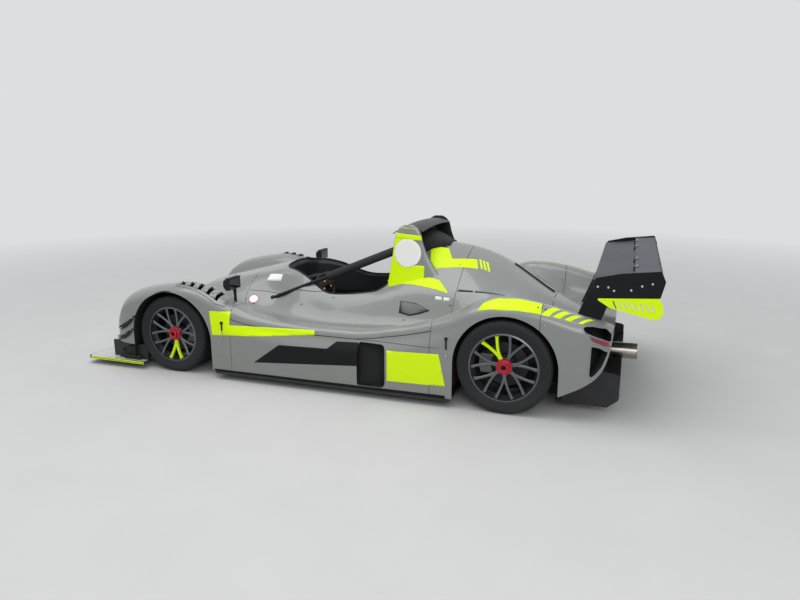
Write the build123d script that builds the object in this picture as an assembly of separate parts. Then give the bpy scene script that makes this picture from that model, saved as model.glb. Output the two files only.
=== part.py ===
from build123d import *
import os
from math import cos, sin, radians

os.makedirs("parts", exist_ok=True)

# Sports prototype race car, in millimetres.
# +X is the nose, +Y the car's left, +Z up. The origin is the middle of the car's box, on the ground.

# Driving sizes
WHEELBASE = 2500.0
FRONT_OVERHANG = 790.0
REAR_OVERHANG = 895.0
BODY_HALF_WIDTH = 880.0
FLOOR_Z = 45.0
FLOOR_THICK = 15.0
SILL_Z = FLOOR_Z + FLOOR_THICK
NOSE_FOOT_Z = 190.0
PANEL = 8.0
SHUT_GAP = 0.8

FRONT_TYRE_R = 290.0
FRONT_TYRE_WIDTH = 215.0
FRONT_TYRE_FACE_Y = 853.0
FRONT_RIM_R = 208.0
REAR_TYRE_R = 303.5
REAR_TYRE_WIDTH = 262.0
REAR_TYRE_FACE_Y = 884.0
REAR_RIM_R = 221.0

XR = -(WHEELBASE + FRONT_OVERHANG - REAR_OVERHANG) / 2
XF = XR + WHEELBASE
TIP_X = XF + FRONT_OVERHANG

# Front wheelhouse and rear wheelhouse: radius, and how far the centre stands off the axle
FRONT_ARCH_R = 350.0
FRONT_ARCH_SHIFT = -15.0
REAR_ARCH_R = 332.0
REAR_ARCH_SHIFT = -4.0
ARCH_IN_Y = 700.0
LINER_IN_Y = 508.0

COCKPIT_HALF_WIDTH = 405.0

# Roll hoop and its fairings
HOOP_X = XR + 800.0
HOOP_TOP_Z = 1070.0
HOOP_HALF_WIDTH = 335.0
HOOP_TUBE_R = 22.0
FAIRING_Y = 385.0
FAIRING_THICK = 46.0
FAIRING_TOP_Z = 1122.0

# Front braces, from the hoop down to the tub's sides
BRACE_TOP = (XR + 805, 320, 965)
BRACE_FOOT = (XR + 1890, 417, 520)
BRACE_R = 20.0
BRACE_PIN_R = 7.5
TUB_TOP_Z = 430.0

# Kingpins and suspension
KINGPIN_HALF = 115.0
KINGPIN_R = 9.0
PIN_GAP = 0.3
ARM_R = 11.0
ARM_LIFT = 6.0
DISC_R = 142.0
DISC_THICK = 26.0
SPINDLE_R = 26.0
STEER_ARM = 110.0

# Wing
WING_HALF_SPAN = 856.0
WING_PLATE = 8.0
PYLON_Y = 300.0
PYLON_THICK = 12.0


def save(node, shape):
    export_step(shape, "parts/" + node + ".step")


def both_sides(shape):
    """The left piece and its mirror image on the right."""
    return Compound(children=[shape, mirror(shape, about=Plane.XZ)])


def side_face(rows, y=0.0):
    """A face in the side view; rows are x, z, corner radius."""
    line = FilletPolyline([(x, z) for x, z, r in rows], radius=[r for x, z, r in rows], close=True)
    return make_face(Plane.XZ.offset(-y) * line)


def side_prism(rows, y0, y1):
    """A side view carried across the car from y0 to the larger y1."""
    return extrude(side_face(rows, y1), y1 - y0, dir=(0, -1, 0))


def plan_prism(rows, z0, z1):
    """A plan view carried up from z0 to z1; rows are x, y, corner radius."""
    line = FilletPolyline([(x, y) for x, y, r in rows], radius=[r for x, y, r in rows], close=True)
    return extrude(make_face(Plane.XY.offset(z0) * line), z1 - z0, dir=(0, 0, 1))


def full_outline(rows):
    """A symmetrical plan outline from its left half."""
    return rows + [(x, -y, r) for x, y, r in reversed(rows)]


def block(x0, x1, y0, y1, z0, z1):
    return Pos((x0 + x1) / 2, (y0 + y1) / 2, (z0 + z1) / 2) * Box(x1 - x0, y1 - y0, z1 - z0)


def rod(a, b, r):
    """A round bar from point a to point b."""
    a, b = Vector(*a), Vector(*b)
    return extrude(Plane(origin=a, z_dir=b - a) * Circle(r), (b - a).length)


def tube_y(x, z, r, y0, y1):
    """A cylinder along Y from y0 to the larger y1."""
    return extrude(Plane.XZ.offset(-y1) * Pos(x, z) * Circle(r), y1 - y0)


def tube_z(x, y, r, z0, z1):
    return extrude(Plane.XY.offset(z0) * Pos(x, y) * Circle(r), z1 - z0)


# The painted body. One table gives its form: each row is a cut across the left half of the car.

BODY_ROWS = [
    # x from the rear axle, z at the middle, shoulder y and z, flank y and z, channel y and z, crest z,
    # side y, rounding y and z, foot z, belly y
    (-632, 495, 100, 495, 420, 475, 550, 480, 575, 740, 80, 50, 460, 740),
    (-580, 503, 100, 503, 420, 475, 553, 486, 610, 830, 100, 70, 325, 830),
    (-500, 513, 100, 512, 422, 475, 560, 491, 635, 868, 110, 90, 248, 868),
    (-330, 555, 100, 550, 440, 476, 565, 505, 676, BODY_HALF_WIDTH, 130, 90, 155, BODY_HALF_WIDTH),
    (-150, 655, 100, 650, 470, 545, 590, 600, 715, BODY_HALF_WIDTH, 135, 90, SILL_Z, BODY_HALF_WIDTH),
    (50, 770, 100, 760, 500, 680, 620, 680, 727, BODY_HALF_WIDTH, 140, 90, SILL_Z, BODY_HALF_WIDTH),
    (200, 843, 100, 830, 500, 697, 640, 625, 690, 875, 130, 80, SILL_Z, BODY_HALF_WIDTH),
    (360, 908, 100, 890, 500, 700, 650, 525, 605, 860, 100, 70, SILL_Z, BODY_HALF_WIDTH),
    (500, 955, 100, 935, 490, 700, 650, 475, 550, 845, 70, 60, SILL_Z, BODY_HALF_WIDTH),
    (660, 972, 110, 950, 480, 695, 650, 455, 500, 835, 50, 50, SILL_Z, BODY_HALF_WIDTH),
    (800, 930, 160, 880, 470, 675, 650, 447, 472, 835, 48, 48, SILL_Z, BODY_HALF_WIDTH),
    (900, 800, 330, 720, 460, 655, 650, 437, 452, 835, 46, 46, SILL_Z, BODY_HALF_WIDTH),
    (1050, 720, 330, 680, 455, 620, 640, 425, 436, 835, 45, 45, SILL_Z, BODY_HALF_WIDTH),
    (1300, 700, 330, 660, 450, 595, 630, 415, 436, 835, 45, 45, SILL_Z, BODY_HALF_WIDTH),
    (1600, 775, 320, 735, 450, 655, 610, 428, 452, 845, 50, 50, SILL_Z, BODY_HALF_WIDTH),
    (1850, 763, 300, 735, 465, 620, 580, 450, 495, 862, 70, 65, SILL_Z, BODY_HALF_WIDTH),
    (2100, 705, 260, 685, 450, 580, 540, 470, 600, 878, 110, 80, SILL_Z, BODY_HALF_WIDTH),
    (2400, 630, 220, 612, 410, 515, 510, 470, 678, BODY_HALF_WIDTH, 135, 82, 100, BODY_HALF_WIDTH),
    (2720, 522, 170, 508, 350, 412, 480, 412, 632, BODY_HALF_WIDTH, 140, 90, 180, BODY_HALF_WIDTH),
    (2930, 395, 140, 385, 300, 290, 460, 275, 545, 858, 130, 100, NOSE_FOOT_Z, 858),
    (3050, 272, 120, 265, 260, 220, 440, 215, 345, 785, 120, 80, NOSE_FOOT_Z, 785),
    (3100, 198, 100, 198, 220, 197, 420, 196, 200, 660, 100, 3, NOSE_FOOT_Z, 660)]
NOSE_LIP = 35.0
BELLY_SHARE = 0.7
BEND = 0.29
SLOPE = [(0.62, 0.90), (0.20, 0.20)]


def cut_points(row, inset):
    """The outline of one cut, round from the middle of the foot; an inset one stands open below."""
    x, mid_z, y1, z1, y2, z2, y3, z3, crest, side, ry, rz, foot, belly = row
    i = inset
    low = foot - i
    turn = crest - rz - i
    edge = side - ry - i
    slope = [(y3 + run * (edge - y3), z3 - i + rise * (crest - z3)) for run, rise in SLOPE]
    return [(-i, low), (belly - i, low), (belly - i, low + BELLY_SHARE * (turn - low)), (side - i, turn),
            (side - i - BEND * ry, crest - i - BEND * rz), (edge, crest - i), *slope,
            (y3, z3 - i), (y2, z2 - i), (y1, z1 - i), (-i, mid_z - i)]


def part_way(row, other, reach):
    """A cut at a distance from one row towards the next."""
    share = reach / abs(other[0] - row[0])
    return [a + share * (b - a) for a, b in zip(row, other)]


def body_form(inset=0.0):
    """The left half of the painted body: straight-lined cuts joined by flat and twisted strips."""
    rows = BODY_ROWS
    if inset:
        rows = [part_way(rows[0], rows[1], inset), *rows[1:-1], part_way(rows[-1], rows[-2], NOSE_LIP)]
    return loft([make_face(Plane.YZ.offset(XR + row[0]) * Polyline(*cut_points(row, inset), close=True))
                 for row in rows], ruled=True)


ARCHES = [
    # x and z of the centre, radius
    (XF + FRONT_ARCH_SHIFT, FRONT_TYRE_R - 20, FRONT_ARCH_R),
    (XR + REAR_ARCH_SHIFT, REAR_TYRE_R, REAR_ARCH_R)]
FAR = 3000.0
CRUMB = 20000.0


def beside(rows, near, far, height):
    """A band beside the body's plan outline at some rows, from near to far away from it."""
    sides = [(XR + row[0], row[9]) for row in rows]
    plan = make_face(Plane.XY * Polyline((sides[0][0], 0), *sides, (sides[-1][0], 0), close=True))
    return extrude(offset(plan, far) - (offset(plan, near) if near else plan), height, dir=(0, 0, 1))


def wheelhouse(x, z, r, y0):
    """An open wheelhouse as a solid: round above its centre and straight-sided below."""
    return tube_y(x, z, r, y0, 1000) + block(x - r, x + r, y0, 1000, -10, z)


COCKPIT_ROWS = [
    # x from the rear axle, y, corner radius
    (1830, 130, 120), (1560, COCKPIT_HALF_WIDTH, 260), (950, COCKPIT_HALF_WIDTH, 90)]
COCKPIT_LOW_Z = 480.0

# Shut lines in plan: x from the rear axle, and y
NOSE_SEAM = [(2060, -5), (2060, 540), (1970, 740), (1970, 1000)]
COVER_SEAM = [(400, -5), (400, 520), (480, 780), (480, 1000)]
TAIL_SEAM = [(-213, -5), (-213, 1000)]
POD_SHUT_Z = 390.0

# Openings in the panels, from the rear axle
DUCT_ROWS = [(985, 85, 10), (985, 372, 10), (790, 372, 10), (790, 85, 30)]
DUCT_IN_Y = 800.0
SCOOP_ROWS = [(733, 645, 0), (733, 550, 0), (640, 560, 0), (530, 600, 0), (640, 640, 0)]
UPPER_TAIL_ROWS = [(-470, 596, 0), (-590, 592, 0), (-640, 575, 0), (-640, 552, 0), (-510, 562, 0)]
LOWER_TAIL_ROWS = [(-519, 480, 0), (-640, 456, 0), (-640, 350, 0), (-512, 300, 0)]
LOUVRES = 6
LOUVRE_X = 2095.0
LOUVRE_PITCH = 56.0
LOUVRE_LENGTH = 24.0
LOUVRE_SLANT = 40.0
LOUVRE_Y = (630, 755)
DECK_VENTS = [(289, 392), (68, 276)]
DECK_VENT_Y = (494, 508)
INTAKE_HOLE = (480, 790, 150, 870)


def region(front, rear):
    """Everything between two shut lines, set back from each by half the shut gap."""
    g = SHUT_GAP / 2
    points = [(XR + x - g, y) for x, y in front] + [(XR + x + g, y) for x, y in reversed(rear)]
    return extrude(make_face(Plane.XY.offset(-5) * Polyline(*points, close=True)), 1500, dir=(0, 0, 1))


def placed(rows):
    """Side view rows given from the rear axle."""
    return [(XR + x, z, r) for x, z, r in rows]


def openings():
    """Louvres, side duct, flank scoop, deck vents and tail openings of the left side."""
    y0, y1 = LOUVRE_Y
    cuts = side_prism(placed(DUCT_ROWS), DUCT_IN_Y, 1000) + side_prism(placed(SCOOP_ROWS), 500, 700)
    for rows in (UPPER_TAIL_ROWS, LOWER_TAIL_ROWS):
        cuts += side_prism(placed(rows), 730, 1000)
    for k in range(LOUVRES):
        x = XR + LOUVRE_X + k * LOUVRE_PITCH
        far_x = x + LOUVRE_LENGTH
        slot = [(x, y1, 0), (far_x, y1, 0), (far_x + LOUVRE_SLANT, y0, 0), (x + LOUVRE_SLANT, y0, 0)]
        cuts += plan_prism(slot, 500, 800)
    for x0, x1 in DECK_VENTS:
        cuts += block(XR + x0, XR + x1, *DECK_VENT_Y, 640, 800)
    x0, x1, y, z = INTAKE_HOLE
    return cuts + block(XR + x0, XR + x1, -1, y, z, 1100)


def body_panels(outside):
    """The body form made hollow, opened for wheels, cockpit and air, and split at its shut lines."""
    shell = outside - body_form(PANEL)
    for x, z, r in ARCHES:
        liner = wheelhouse(x, z, r + PANEL, LINER_IN_Y) - wheelhouse(x, z, r, LINER_IN_Y - 1)
        shell = shell - wheelhouse(x, z, r, ARCH_IN_Y) + (liner & outside)
    rows = [(XR + x, y, r) for x, y, r in COCKPIT_ROWS]
    shell = shell - plan_prism(full_outline(rows), COCKPIT_LOW_Z, 900) - openings()
    low, high = Vector(*BRACE_FOOT), Vector(*BRACE_TOP)
    shell = shell - tube_z(HOOP_X, HOOP_HALF_WIDTH, HOOP_TUBE_R + 1, TUB_TOP_Z, 1000)
    shell = shell - rod(low, high, BRACE_R + 1) - tube_z(low.X, low.Y, BRACE_PIN_R + 1, TUB_TOP_Z, low.Z + 5)
    ends = [(-FAR, -5), (-FAR, 1000)], [(FAR, -5), (FAR, 1000)]
    middle = shell & region(NOSE_SEAM, COVER_SEAM)
    g = SHUT_GAP / 2
    halves = {
        "front_clamshell": shell & region(ends[1], NOSE_SEAM),
        "cockpit_surround": middle & block(-FAR, FAR, -5, 1000, POD_SHUT_Z + g, 1500),
        "sidepods": middle & block(-FAR, FAR, -5, 1000, -5, POD_SHUT_Z - g),
        "engine_cover": shell & region(COVER_SEAM, TAIL_SEAM),
        "rear_clamshell": shell & region(TAIL_SEAM, ends[0]),
    }
    return {node: join_halves(half) for node, half in halves.items()}


def join_halves(half):
    """The left half of a panel with its mirror image; what meets at the middle becomes one solid."""
    left = [solid for solid in half.solids() if solid.volume > CRUMB]
    right = [solid.mirror(Plane.XZ) for solid in left]
    joined = left[0].fuse(*left[1:], *right)
    return Compound(children=list(joined)) if isinstance(joined, ShapeList) else joined


# Wheels: the left ones are built, and the right ones are their mirror images.

SPOKES = 7
SPOKE_SPREAD = 13.5
RIM_WALL = 8.0
HUB_SET_IN = 75.0
TYRE_BEAD_IN = 8.0
TYRE_SHOULDER = 26.0
TYRE_SHOULDER_DROP = 34.0
BELL_LENGTH = 30.0
BELL_R = 70.0

WHEELS = {
    # name: axle x, tyre radius, tyre width, y of the tyre's outer face, rim radius
    "f": (XF, FRONT_TYRE_R, FRONT_TYRE_WIDTH, FRONT_TYRE_FACE_Y, FRONT_RIM_R),
    "r": (XR, REAR_TYRE_R, REAR_TYRE_WIDTH, REAR_TYRE_FACE_Y, REAR_RIM_R)}


def turned(rows, x, z):
    """A section turned about the wheel's axis; rows are y, radius, corner radius."""
    line = FilletPolyline([(y, z + r) for y, r, f in rows], radius=[f for y, r, f in rows], close=True)
    face = make_face(Plane.YZ.offset(x) * line)
    return revolve(face, axis=Axis((x, 0, z), (0, 1, 0)))


def tyre(end):
    """A slick tyre: bead seat, sidewalls that lean out, shoulders and tread."""
    x, radius, width, face, rim = WHEELS[end]
    back = face - width
    bead, shoulder, drop = TYRE_BEAD_IN, TYRE_SHOULDER, TYRE_SHOULDER_DROP
    return turned([(face - bead, rim, 0), (face, radius - drop, 0), (face - shoulder, radius, 0),
                   (back + shoulder, radius, 0), (back, radius - drop, 0), (back + bead, rim, 0)], x, radius)


def rim(end):
    """Barrel with two lips, seven Y-shaped spokes, hub and centre nut."""
    x, z, width, face, outer = WHEELS[end]
    back = face - width
    inner = outer - 2 * RIM_WALL
    lip, rear_lip = face - TYRE_BEAD_IN, back + TYRE_BEAD_IN
    barrel = turned([(lip, outer, 0), (rear_lip, outer, 0), (rear_lip, inner, 0), (lip, inner, 0)], x, z)
    spoke_out, spoke_in = face - 26.0, face - 46.0
    fork = 0.52 * inner
    pieces = tube_y(x, z, 62, face - HUB_SET_IN, face - 40) + tube_y(x, z, 30, face - 41, face - 12)
    for k in range(SPOKES):
        mid = radians(90 + 360 * k / SPOKES)
        stem = [(40, -13), (fork, -8), (fork, 8), (40, 13)]
        outline = [stem]
        for side in (-1, 1):
            spread = radians(SPOKE_SPREAD) * side
            reach = inner + 3
            ax, ay = fork - 14, 2 * side
            bx, by = reach * cos(spread), reach * sin(spread)
            outline.append([(ax, ay - 6), (bx, by - 6), (bx, by + 6), (ax, ay + 6)])
        for shape in outline:
            points = [(x + u * cos(mid) - v * sin(mid), z + u * sin(mid) + v * cos(mid)) for u, v in shape]
            face_xz = make_face(Plane.XZ.offset(-spoke_out) * Polyline(*points, close=True))
            pieces += extrude(face_xz, spoke_out - spoke_in, dir=(0, -1, 0))
    return barrel + pieces


def disc(end):
    """Brake disc with its bell and spindle, and at the rear its half shaft."""
    x, z, width, face, outer = WHEELS[end]
    hub = face - HUB_SET_IN
    bell = hub - BELL_LENGTH
    disc_in = bell - DISC_THICK
    end_y = hub - SPINDLE_END
    shape = turned([(hub, 20, 0), (hub, BELL_R, 0), (bell, BELL_R, 0), (bell, DISC_R, 0), (disc_in, DISC_R, 0),
                    (disc_in, SPINDLE_R, 0), (end_y, SPINDLE_R, 0), (end_y, 20, 0)], x, z)
    core = tube_y(x, z, 20.5, hub - SPINDLE_END, hub)
    shape = shape + core
    if end == "r":
        shape = shape + tube_y(x, z, SHAFT_R, SHAFT_IN_Y, hub - SPINDLE_END + 1)
        shape = shape + tube_y(x, z, 42, SHAFT_IN_Y, SHAFT_IN_Y + 70) + tube_y(x, z, 42, 560, 640)
    return shape


SPINDLE_END = 108.0
SHAFT_R = 13.0
SHAFT_IN_Y = 142.0
CALIPER_GAP = 6.0


def upright(end):
    """Upright with its bearing bore, kingpins or arm eyes, and the caliper over the disc."""
    x, z, width, face, outer = WHEELS[end]
    hub = face - HUB_SET_IN
    disc_in = hub - BELL_LENGTH - DISC_THICK
    y1 = disc_in - 16.0
    y0 = hub - SPINDLE_END + 0.5
    pin_y = (y0 + y1) / 2
    half = KINGPIN_HALF - 10 if end == "f" else KINGPIN_HALF + ARM_LIFT - ARM_R - PIN_GAP
    body = tube_y(x, z, 52, y0, y1) + block(x - 24, x + 24, y0, y1, z - half, z + half)
    caliper = turned([(disc_in - 16, 95, 0), (disc_in - 16, 170, 0), (hub - BELL_LENGTH + 18, 170, 0),
                      (hub - BELL_LENGTH + 18, 95, 0)], x, z)
    slot = turned([(disc_in - CALIPER_GAP, 60, 0), (disc_in - CALIPER_GAP, DISC_R + CALIPER_GAP, 0),
                   (hub - BELL_LENGTH + CALIPER_GAP, DISC_R + CALIPER_GAP, 0),
                   (hub - BELL_LENGTH + CALIPER_GAP, 60, 0)], x, z)
    side = -1 if end == "f" else 1
    window = block(x + 60, x + 200, y0, hub, z - 62, z + 62) if side > 0 else block(x - 200, x - 60, y0, hub,
                                                                                    z - 62, z + 62)
    bracket = block(min(x, x + side * 110), max(x, x + side * 110), y0, y1, z - 20, z + 20)
    body = body + bracket + ((caliper - slot) & window)
    if end == "f":
        for s in (-1, 1):
            low, high = sorted((z + s * (KINGPIN_HALF - 14), z + s * (KINGPIN_HALF + 22)))
            body = body + tube_z(x, pin_y, KINGPIN_R, low, high)
        body = body + block(x, x + STEER_ARM + 14, pin_y - 9, pin_y + 9, z + 20, z + 36)
        body = body + tube_z(x + STEER_ARM, pin_y, 7, z + 30, z + 62)
    return body - tube_y(x, z, SPINDLE_R + PIN_GAP, y0 - 1, y1 + 1)


# Floor, splitter, dive planes and diffuser

SPLITTER_REAR = 345.0
FOOT_FRONT = 590.0
FOOT_Y = 812.0
FOOT_IN_Y = 520.0
FOOT_PLATE = 12.0
FLOOR_LIP = 12.0
DIFFUSER_START = -300.0


def undertray():
    """The flat floor between the axles, narrowed between the wheels."""
    w = BODY_HALF_WIDTH + FLOOR_LIP
    rows = [(XF + SPLITTER_REAR - 5, 455, 0), (XF - 385, 455, 0), (XF - 385, w, 25), (XR + 345, w, 25),
            (XR + 345, 520, 0), (XR + DIFFUSER_START, 520, 0)]
    rows += [(x, -y, r) for x, y, r in reversed(rows)]
    return plan_prism(rows, FLOOR_Z, FLOOR_Z + FLOOR_THICK)


def splitter():
    """The front splitter and the upright plates between it and the two fenders."""
    w = BODY_HALF_WIDTH + 18
    rows = [(XF + SPLITTER_REAR - 5, 455, 0), (XF + SPLITTER_REAR - 5, w - 60, 0), (XF + 250, w - 20, 0),
            (XF + 250, w, 0), (TIP_X, w, 45), (TIP_X - 40, 300, 0)]
    rows += [(x, -y, r) for x, y, r in reversed(rows)]
    blade = plan_prism(rows, FLOOR_Z, FLOOR_Z + FLOOR_THICK)
    rear, low = XF + SPLITTER_REAR, FLOOR_Z + FLOOR_THICK
    feet = both_sides(block(rear, XF + FOOT_FRONT, FOOT_Y - FOOT_PLATE, FOOT_Y, low, NOSE_FOOT_Z)
                      + block(rear, rear + FOOT_PLATE, FOOT_IN_Y, FOOT_Y, low, NOSE_FOOT_Z))
    return blade + feet


DIVE_REACH = 15.0
DIVE_REAR_X = 2300.0
DIVE_PLANES = [
    # x and z of the front end, x and z of the rear end, from the front axle
    (470, 318, 285, 425),
    (560, 215, 300, 322)]


def dive_planes():
    """Two small kinked planes on each front fender, cut to the fender's plan."""
    reach = beside([row for row in BODY_ROWS if row[0] > DIVE_REAR_X], PIN_GAP, DIVE_REACH, 600)
    shapes = []
    for x0, z0, x1, z1 in DIVE_PLANES:
        rows = [(XF + x0, z0, 0), (XF + (x0 + x1) / 2 - 10, (z0 + z1) / 2 - 14, 0), (XF + x1, z1, 0),
                (XF + x1, z1 + 6, 0), (XF + (x0 + x1) / 2 - 10, (z0 + z1) / 2 - 8, 0), (XF + x0, z0 + 6, 0)]
        shapes.append(side_prism(rows, 700, BODY_HALF_WIDTH + DIVE_REACH) & reach)
    return both_sides(shapes[0] + shapes[1])


def diffuser():
    """The rising tunnel behind the floor, with two outer and two inner fences."""
    rows = [(XR + DIFFUSER_START, FLOOR_Z, 0), (XR - 330, FLOOR_Z, 0), (XR - 690, 190, 0), (XR - 690, 202, 0),
            (XR - 330, FLOOR_Z + FLOOR_THICK, 0), (XR + DIFFUSER_START, FLOOR_Z + FLOOR_THICK, 0)]
    tunnel = side_prism(rows, -660, 660)
    fence = [(XR - 340, FLOOR_Z, 0), (XR - 620, FLOOR_Z + 4, 0), (XR - 690, 110, 0), (XR - 690, 202, 0),
             (XR - 340, FLOOR_Z + FLOOR_THICK, 0)]
    for y in (-660, -230, 222, 652):
        tunnel = tunnel + side_prism(fence, y, y + 8)
    return tunnel


# Tub, cockpit and front frame

TUB_WALL = 16.0
TUB_HALF_WIDTH = 425.0
TUB_FRONT_X = XR + 2560.0
BULKHEAD_X = XR + 760.0
DASH_X = XR + 1700.0
TUB_ROWS = [
    # x, y, corner radius
    (TUB_FRONT_X, 210, 0),
    (XR + 2300, 265, 0),
    (XR + 1960, TUB_HALF_WIDTH, 0),
    (BULKHEAD_X, TUB_HALF_WIDTH, 0)]
COLUMN_R = 11.0
STEERING_WHEEL_R = 140.0
GRIP_HEIGHT = 210.0
GRIP_CORNER = 70.0
GRIP_THICK = 26.0
SEAT_HALF_WIDTH = 215.0
COLUMN_LOW = (XR + 2560, 0, 345)
COLUMN_HIGH = (XR + 1640, 0, 565)


def tub():
    """The open monocoque: floor, sides, front and rear bulkheads."""
    outer = plan_prism(full_outline(TUB_ROWS), SILL_Z, TUB_TOP_Z)
    inner_face = offset(make_face(Plane.XY.offset(SILL_Z + 12) * Polyline(
        *[(x, y) for x, y, r in full_outline(TUB_ROWS)], close=True)), -TUB_WALL, kind=Kind.INTERSECTION)
    body = outer - extrude(inner_face, 900, dir=(0, 0, 1))
    w = TUB_HALF_WIDTH
    rear_wall = block(BULKHEAD_X, BULKHEAD_X + TUB_WALL, -w, w, TUB_TOP_Z, 640)
    column_hole = rod((XR + 2600, 0, COLUMN_LOW[2] - 9), (XR + 2400, 0, 385), 25)
    return body + rear_wall - column_hole


def front_frame():
    """Box rails ahead of the tub that carry the front pivots, the steering rack and the nose."""
    shape = block(XR + 2560, XR + 2960, 172, 208, 152, 188) + block(XR + 2560, XR + 2690, 172, 208, 394, 426)
    shape = shape + block(XR + 2640, XR + 2680, 172, 208, 188, 394)
    shape = shape + block(XR + 2700, XR + 2724, 172, 208, SILL_Z, 152)
    cross = block(XR + 2930, XR + 2960, -172, 172, 152, 188)
    return shape + mirror(shape, about=Plane.XZ) + cross


def seat():
    """Bucket seat: a thin shell with raised sides."""
    h = SEAT_HALF_WIDTH
    z = SILL_Z + 12
    rows = [(XR + 1330, z, 0), (XR + 960, z, 0), (XR + 800, 560, 0), (XR + 800, 620, 0), (XR + 930, 620, 0),
            (XR + 1060, 260, 60), (XR + 1330, 240, 0)]
    hollow = [(XR + 1400, z + 12, 0), (XR + 985, z + 12, 60), (XR + 835, 560, 0), (XR + 815, 700, 0),
              (XR + 1400, 700, 0)]
    return side_prism(rows, -h, h) - side_prism(hollow, -h + 14, h - 14)


def dash():
    """Dash panel with the bearing tube for the column and two small displays."""
    w = TUB_HALF_WIDTH
    panel = block(DASH_X, DASH_X + 16, -w, w, TUB_TOP_Z, 545) + block(DASH_X, DASH_X + 60, -90, 90, 520, 640)
    low, high = Vector(*COLUMN_LOW), Vector(*COLUMN_HIGH)
    axis = (high - low).normalized()
    mid = high - axis * 100
    sleeve = extrude(Plane(origin=mid, z_dir=axis) * Circle(20), 70, both=False)
    bore = extrude(Plane(origin=low, z_dir=axis) * Circle(COLUMN_R + PIN_GAP), (high - low).length + 50)
    return panel + sleeve - bore


def steering_wheel():
    """Flat-bottomed race wheel with its column."""
    low, high = Vector(*COLUMN_LOW), Vector(*COLUMN_HIGH)
    axis = (high - low).normalized()
    plane = Plane(origin=high, x_dir=(0, 1, 0), z_dir=axis)
    wide, t = 2 * STEERING_WHEEL_R, GRIP_THICK
    hand_hole = RectangleRounded(wide - 2 * t, GRIP_HEIGHT - 2 * t, GRIP_CORNER - t)
    grip = extrude(RectangleRounded(wide, GRIP_HEIGHT, GRIP_CORNER) - hand_hole, t)
    pad = extrude(plane.offset(2) * RectangleRounded(150, 100, 20), 22)
    spokes = extrude(plane.offset(6) * Rectangle(2 * STEERING_WHEEL_R - 30, 30), 8)
    column = extrude(Plane(origin=low, z_dir=axis) * Circle(COLUMN_R), (high - low).length + 4)
    return plane * grip + pad + spokes + column


# Roll structure

def tube_path(points, radii, r):
    """A round tube along straight runs joined by arcs."""
    path = FilletPolyline(*[Vector(*p) for p in points], radius=radii)
    start = points[0]
    heading = Vector(*points[1]) - Vector(*points[0])
    return sweep(Plane(origin=start, z_dir=heading) * Circle(r), path=path)


def roll_hoop():
    """Main hoop, its rear stays and the two front braces."""
    x, w = HOOP_X, HOOP_HALF_WIDTH
    z = HOOP_TOP_Z - HOOP_TUBE_R
    hoop = tube_path([(x, w, TUB_TOP_Z), (x, w, z), (x, -w, z), (x, -w, TUB_TOP_Z)], [150, 150], HOOP_TUBE_R)
    stay = rod((x, 110, z), (XR + 330, 110, 470), 17)
    return hoop + stay + mirror(stay, about=Plane.XZ)


def front_braces():
    top = Vector(*BRACE_TOP)
    low = Vector(*BRACE_FOOT)
    foot = tube_z(BRACE_FOOT[0], BRACE_FOOT[1], BRACE_PIN_R, TUB_TOP_Z, BRACE_FOOT[2])
    pad = rod(tuple(low + (top - low) * 0.42), tuple(low + (top - low) * 0.94), 30)
    return both_sides(foot + rod(low, top, BRACE_R) + pad - roll_hoop())


FAIRING_ROWS = [
    # x from the rear axle, z, corner radius
    (975, 640, 0), (868, 960, 200), (838, FAIRING_TOP_Z, 45), (715, 1115, 60), (655, 960, 120), (470, 630, 0)]


def hoop_fairings(outside):
    """The two blades beside the roll hoop, standing on the body."""
    blade = side_prism(placed(FAIRING_ROWS), FAIRING_Y - FAIRING_THICK / 2, FAIRING_Y + FAIRING_THICK / 2)
    return both_sides(blade - outside)


INTAKE_ROWS = [
    # x from the rear axle, half width, lower z, upper z
    (700, 250, 915, 1075),
    (600, 190, 900, 1030),
    (430, 110, 880, 965)]
INTAKE_WALL = 12.0


def intake_cut(row, inset):
    """One cut across the intake: upright sides that lean in, then a flat top."""
    x, w, z0, z1 = row
    w, z0, z1 = w - inset, z0 + inset, z1 - inset
    rise = z1 - z0
    left = [(w, z0), (0.93 * w, z0 + 0.7 * rise), (0.74 * w, z1)]
    right = [(-y, z) for y, z in reversed(left)]
    return make_face(Plane.YZ.offset(XR + x) * Polyline(*left, *right, close=True))


def air_intake(outside):
    """The scoop between the blades that feeds the engine, open in front."""
    scoop = loft([intake_cut(row, 0) for row in INTAKE_ROWS], ruled=True)
    front, middle, rear = INTAKE_ROWS
    mouth = loft([intake_cut((front[0] + 1, *front[1:]), INTAKE_WALL), intake_cut(middle, INTAKE_WALL),
                  intake_cut(part_way(rear, middle, INTAKE_WALL), INTAKE_WALL)], ruled=True)
    half = (scoop - mouth - outside) & block(-FAR, FAR, 0, 500, 0, 1500)
    return half + mirror(half, about=Plane.XZ)


# Power unit and tail

ENGINE_REAR_X = XR + 190.0


def engine():
    return block(ENGINE_REAR_X, BULKHEAD_X, -185, 185, 95, 440)


def gearbox():
    """Gearbox and final drive with the two bored output flanges."""
    flange_y = SHAFT_IN_Y - PIN_GAP
    case = block(XR - 330, ENGINE_REAR_X, -105, 105, 150, 400) + tube_y(XR, REAR_TYRE_R, 70, -flange_y, flange_y)
    return case + block(XR - 500, XR - 330, -60, 60, 200, 330)


EXHAUST_Y = 215.0
EXHAUST_Z = 300.0
EXHAUST_R = 54.0


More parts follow.
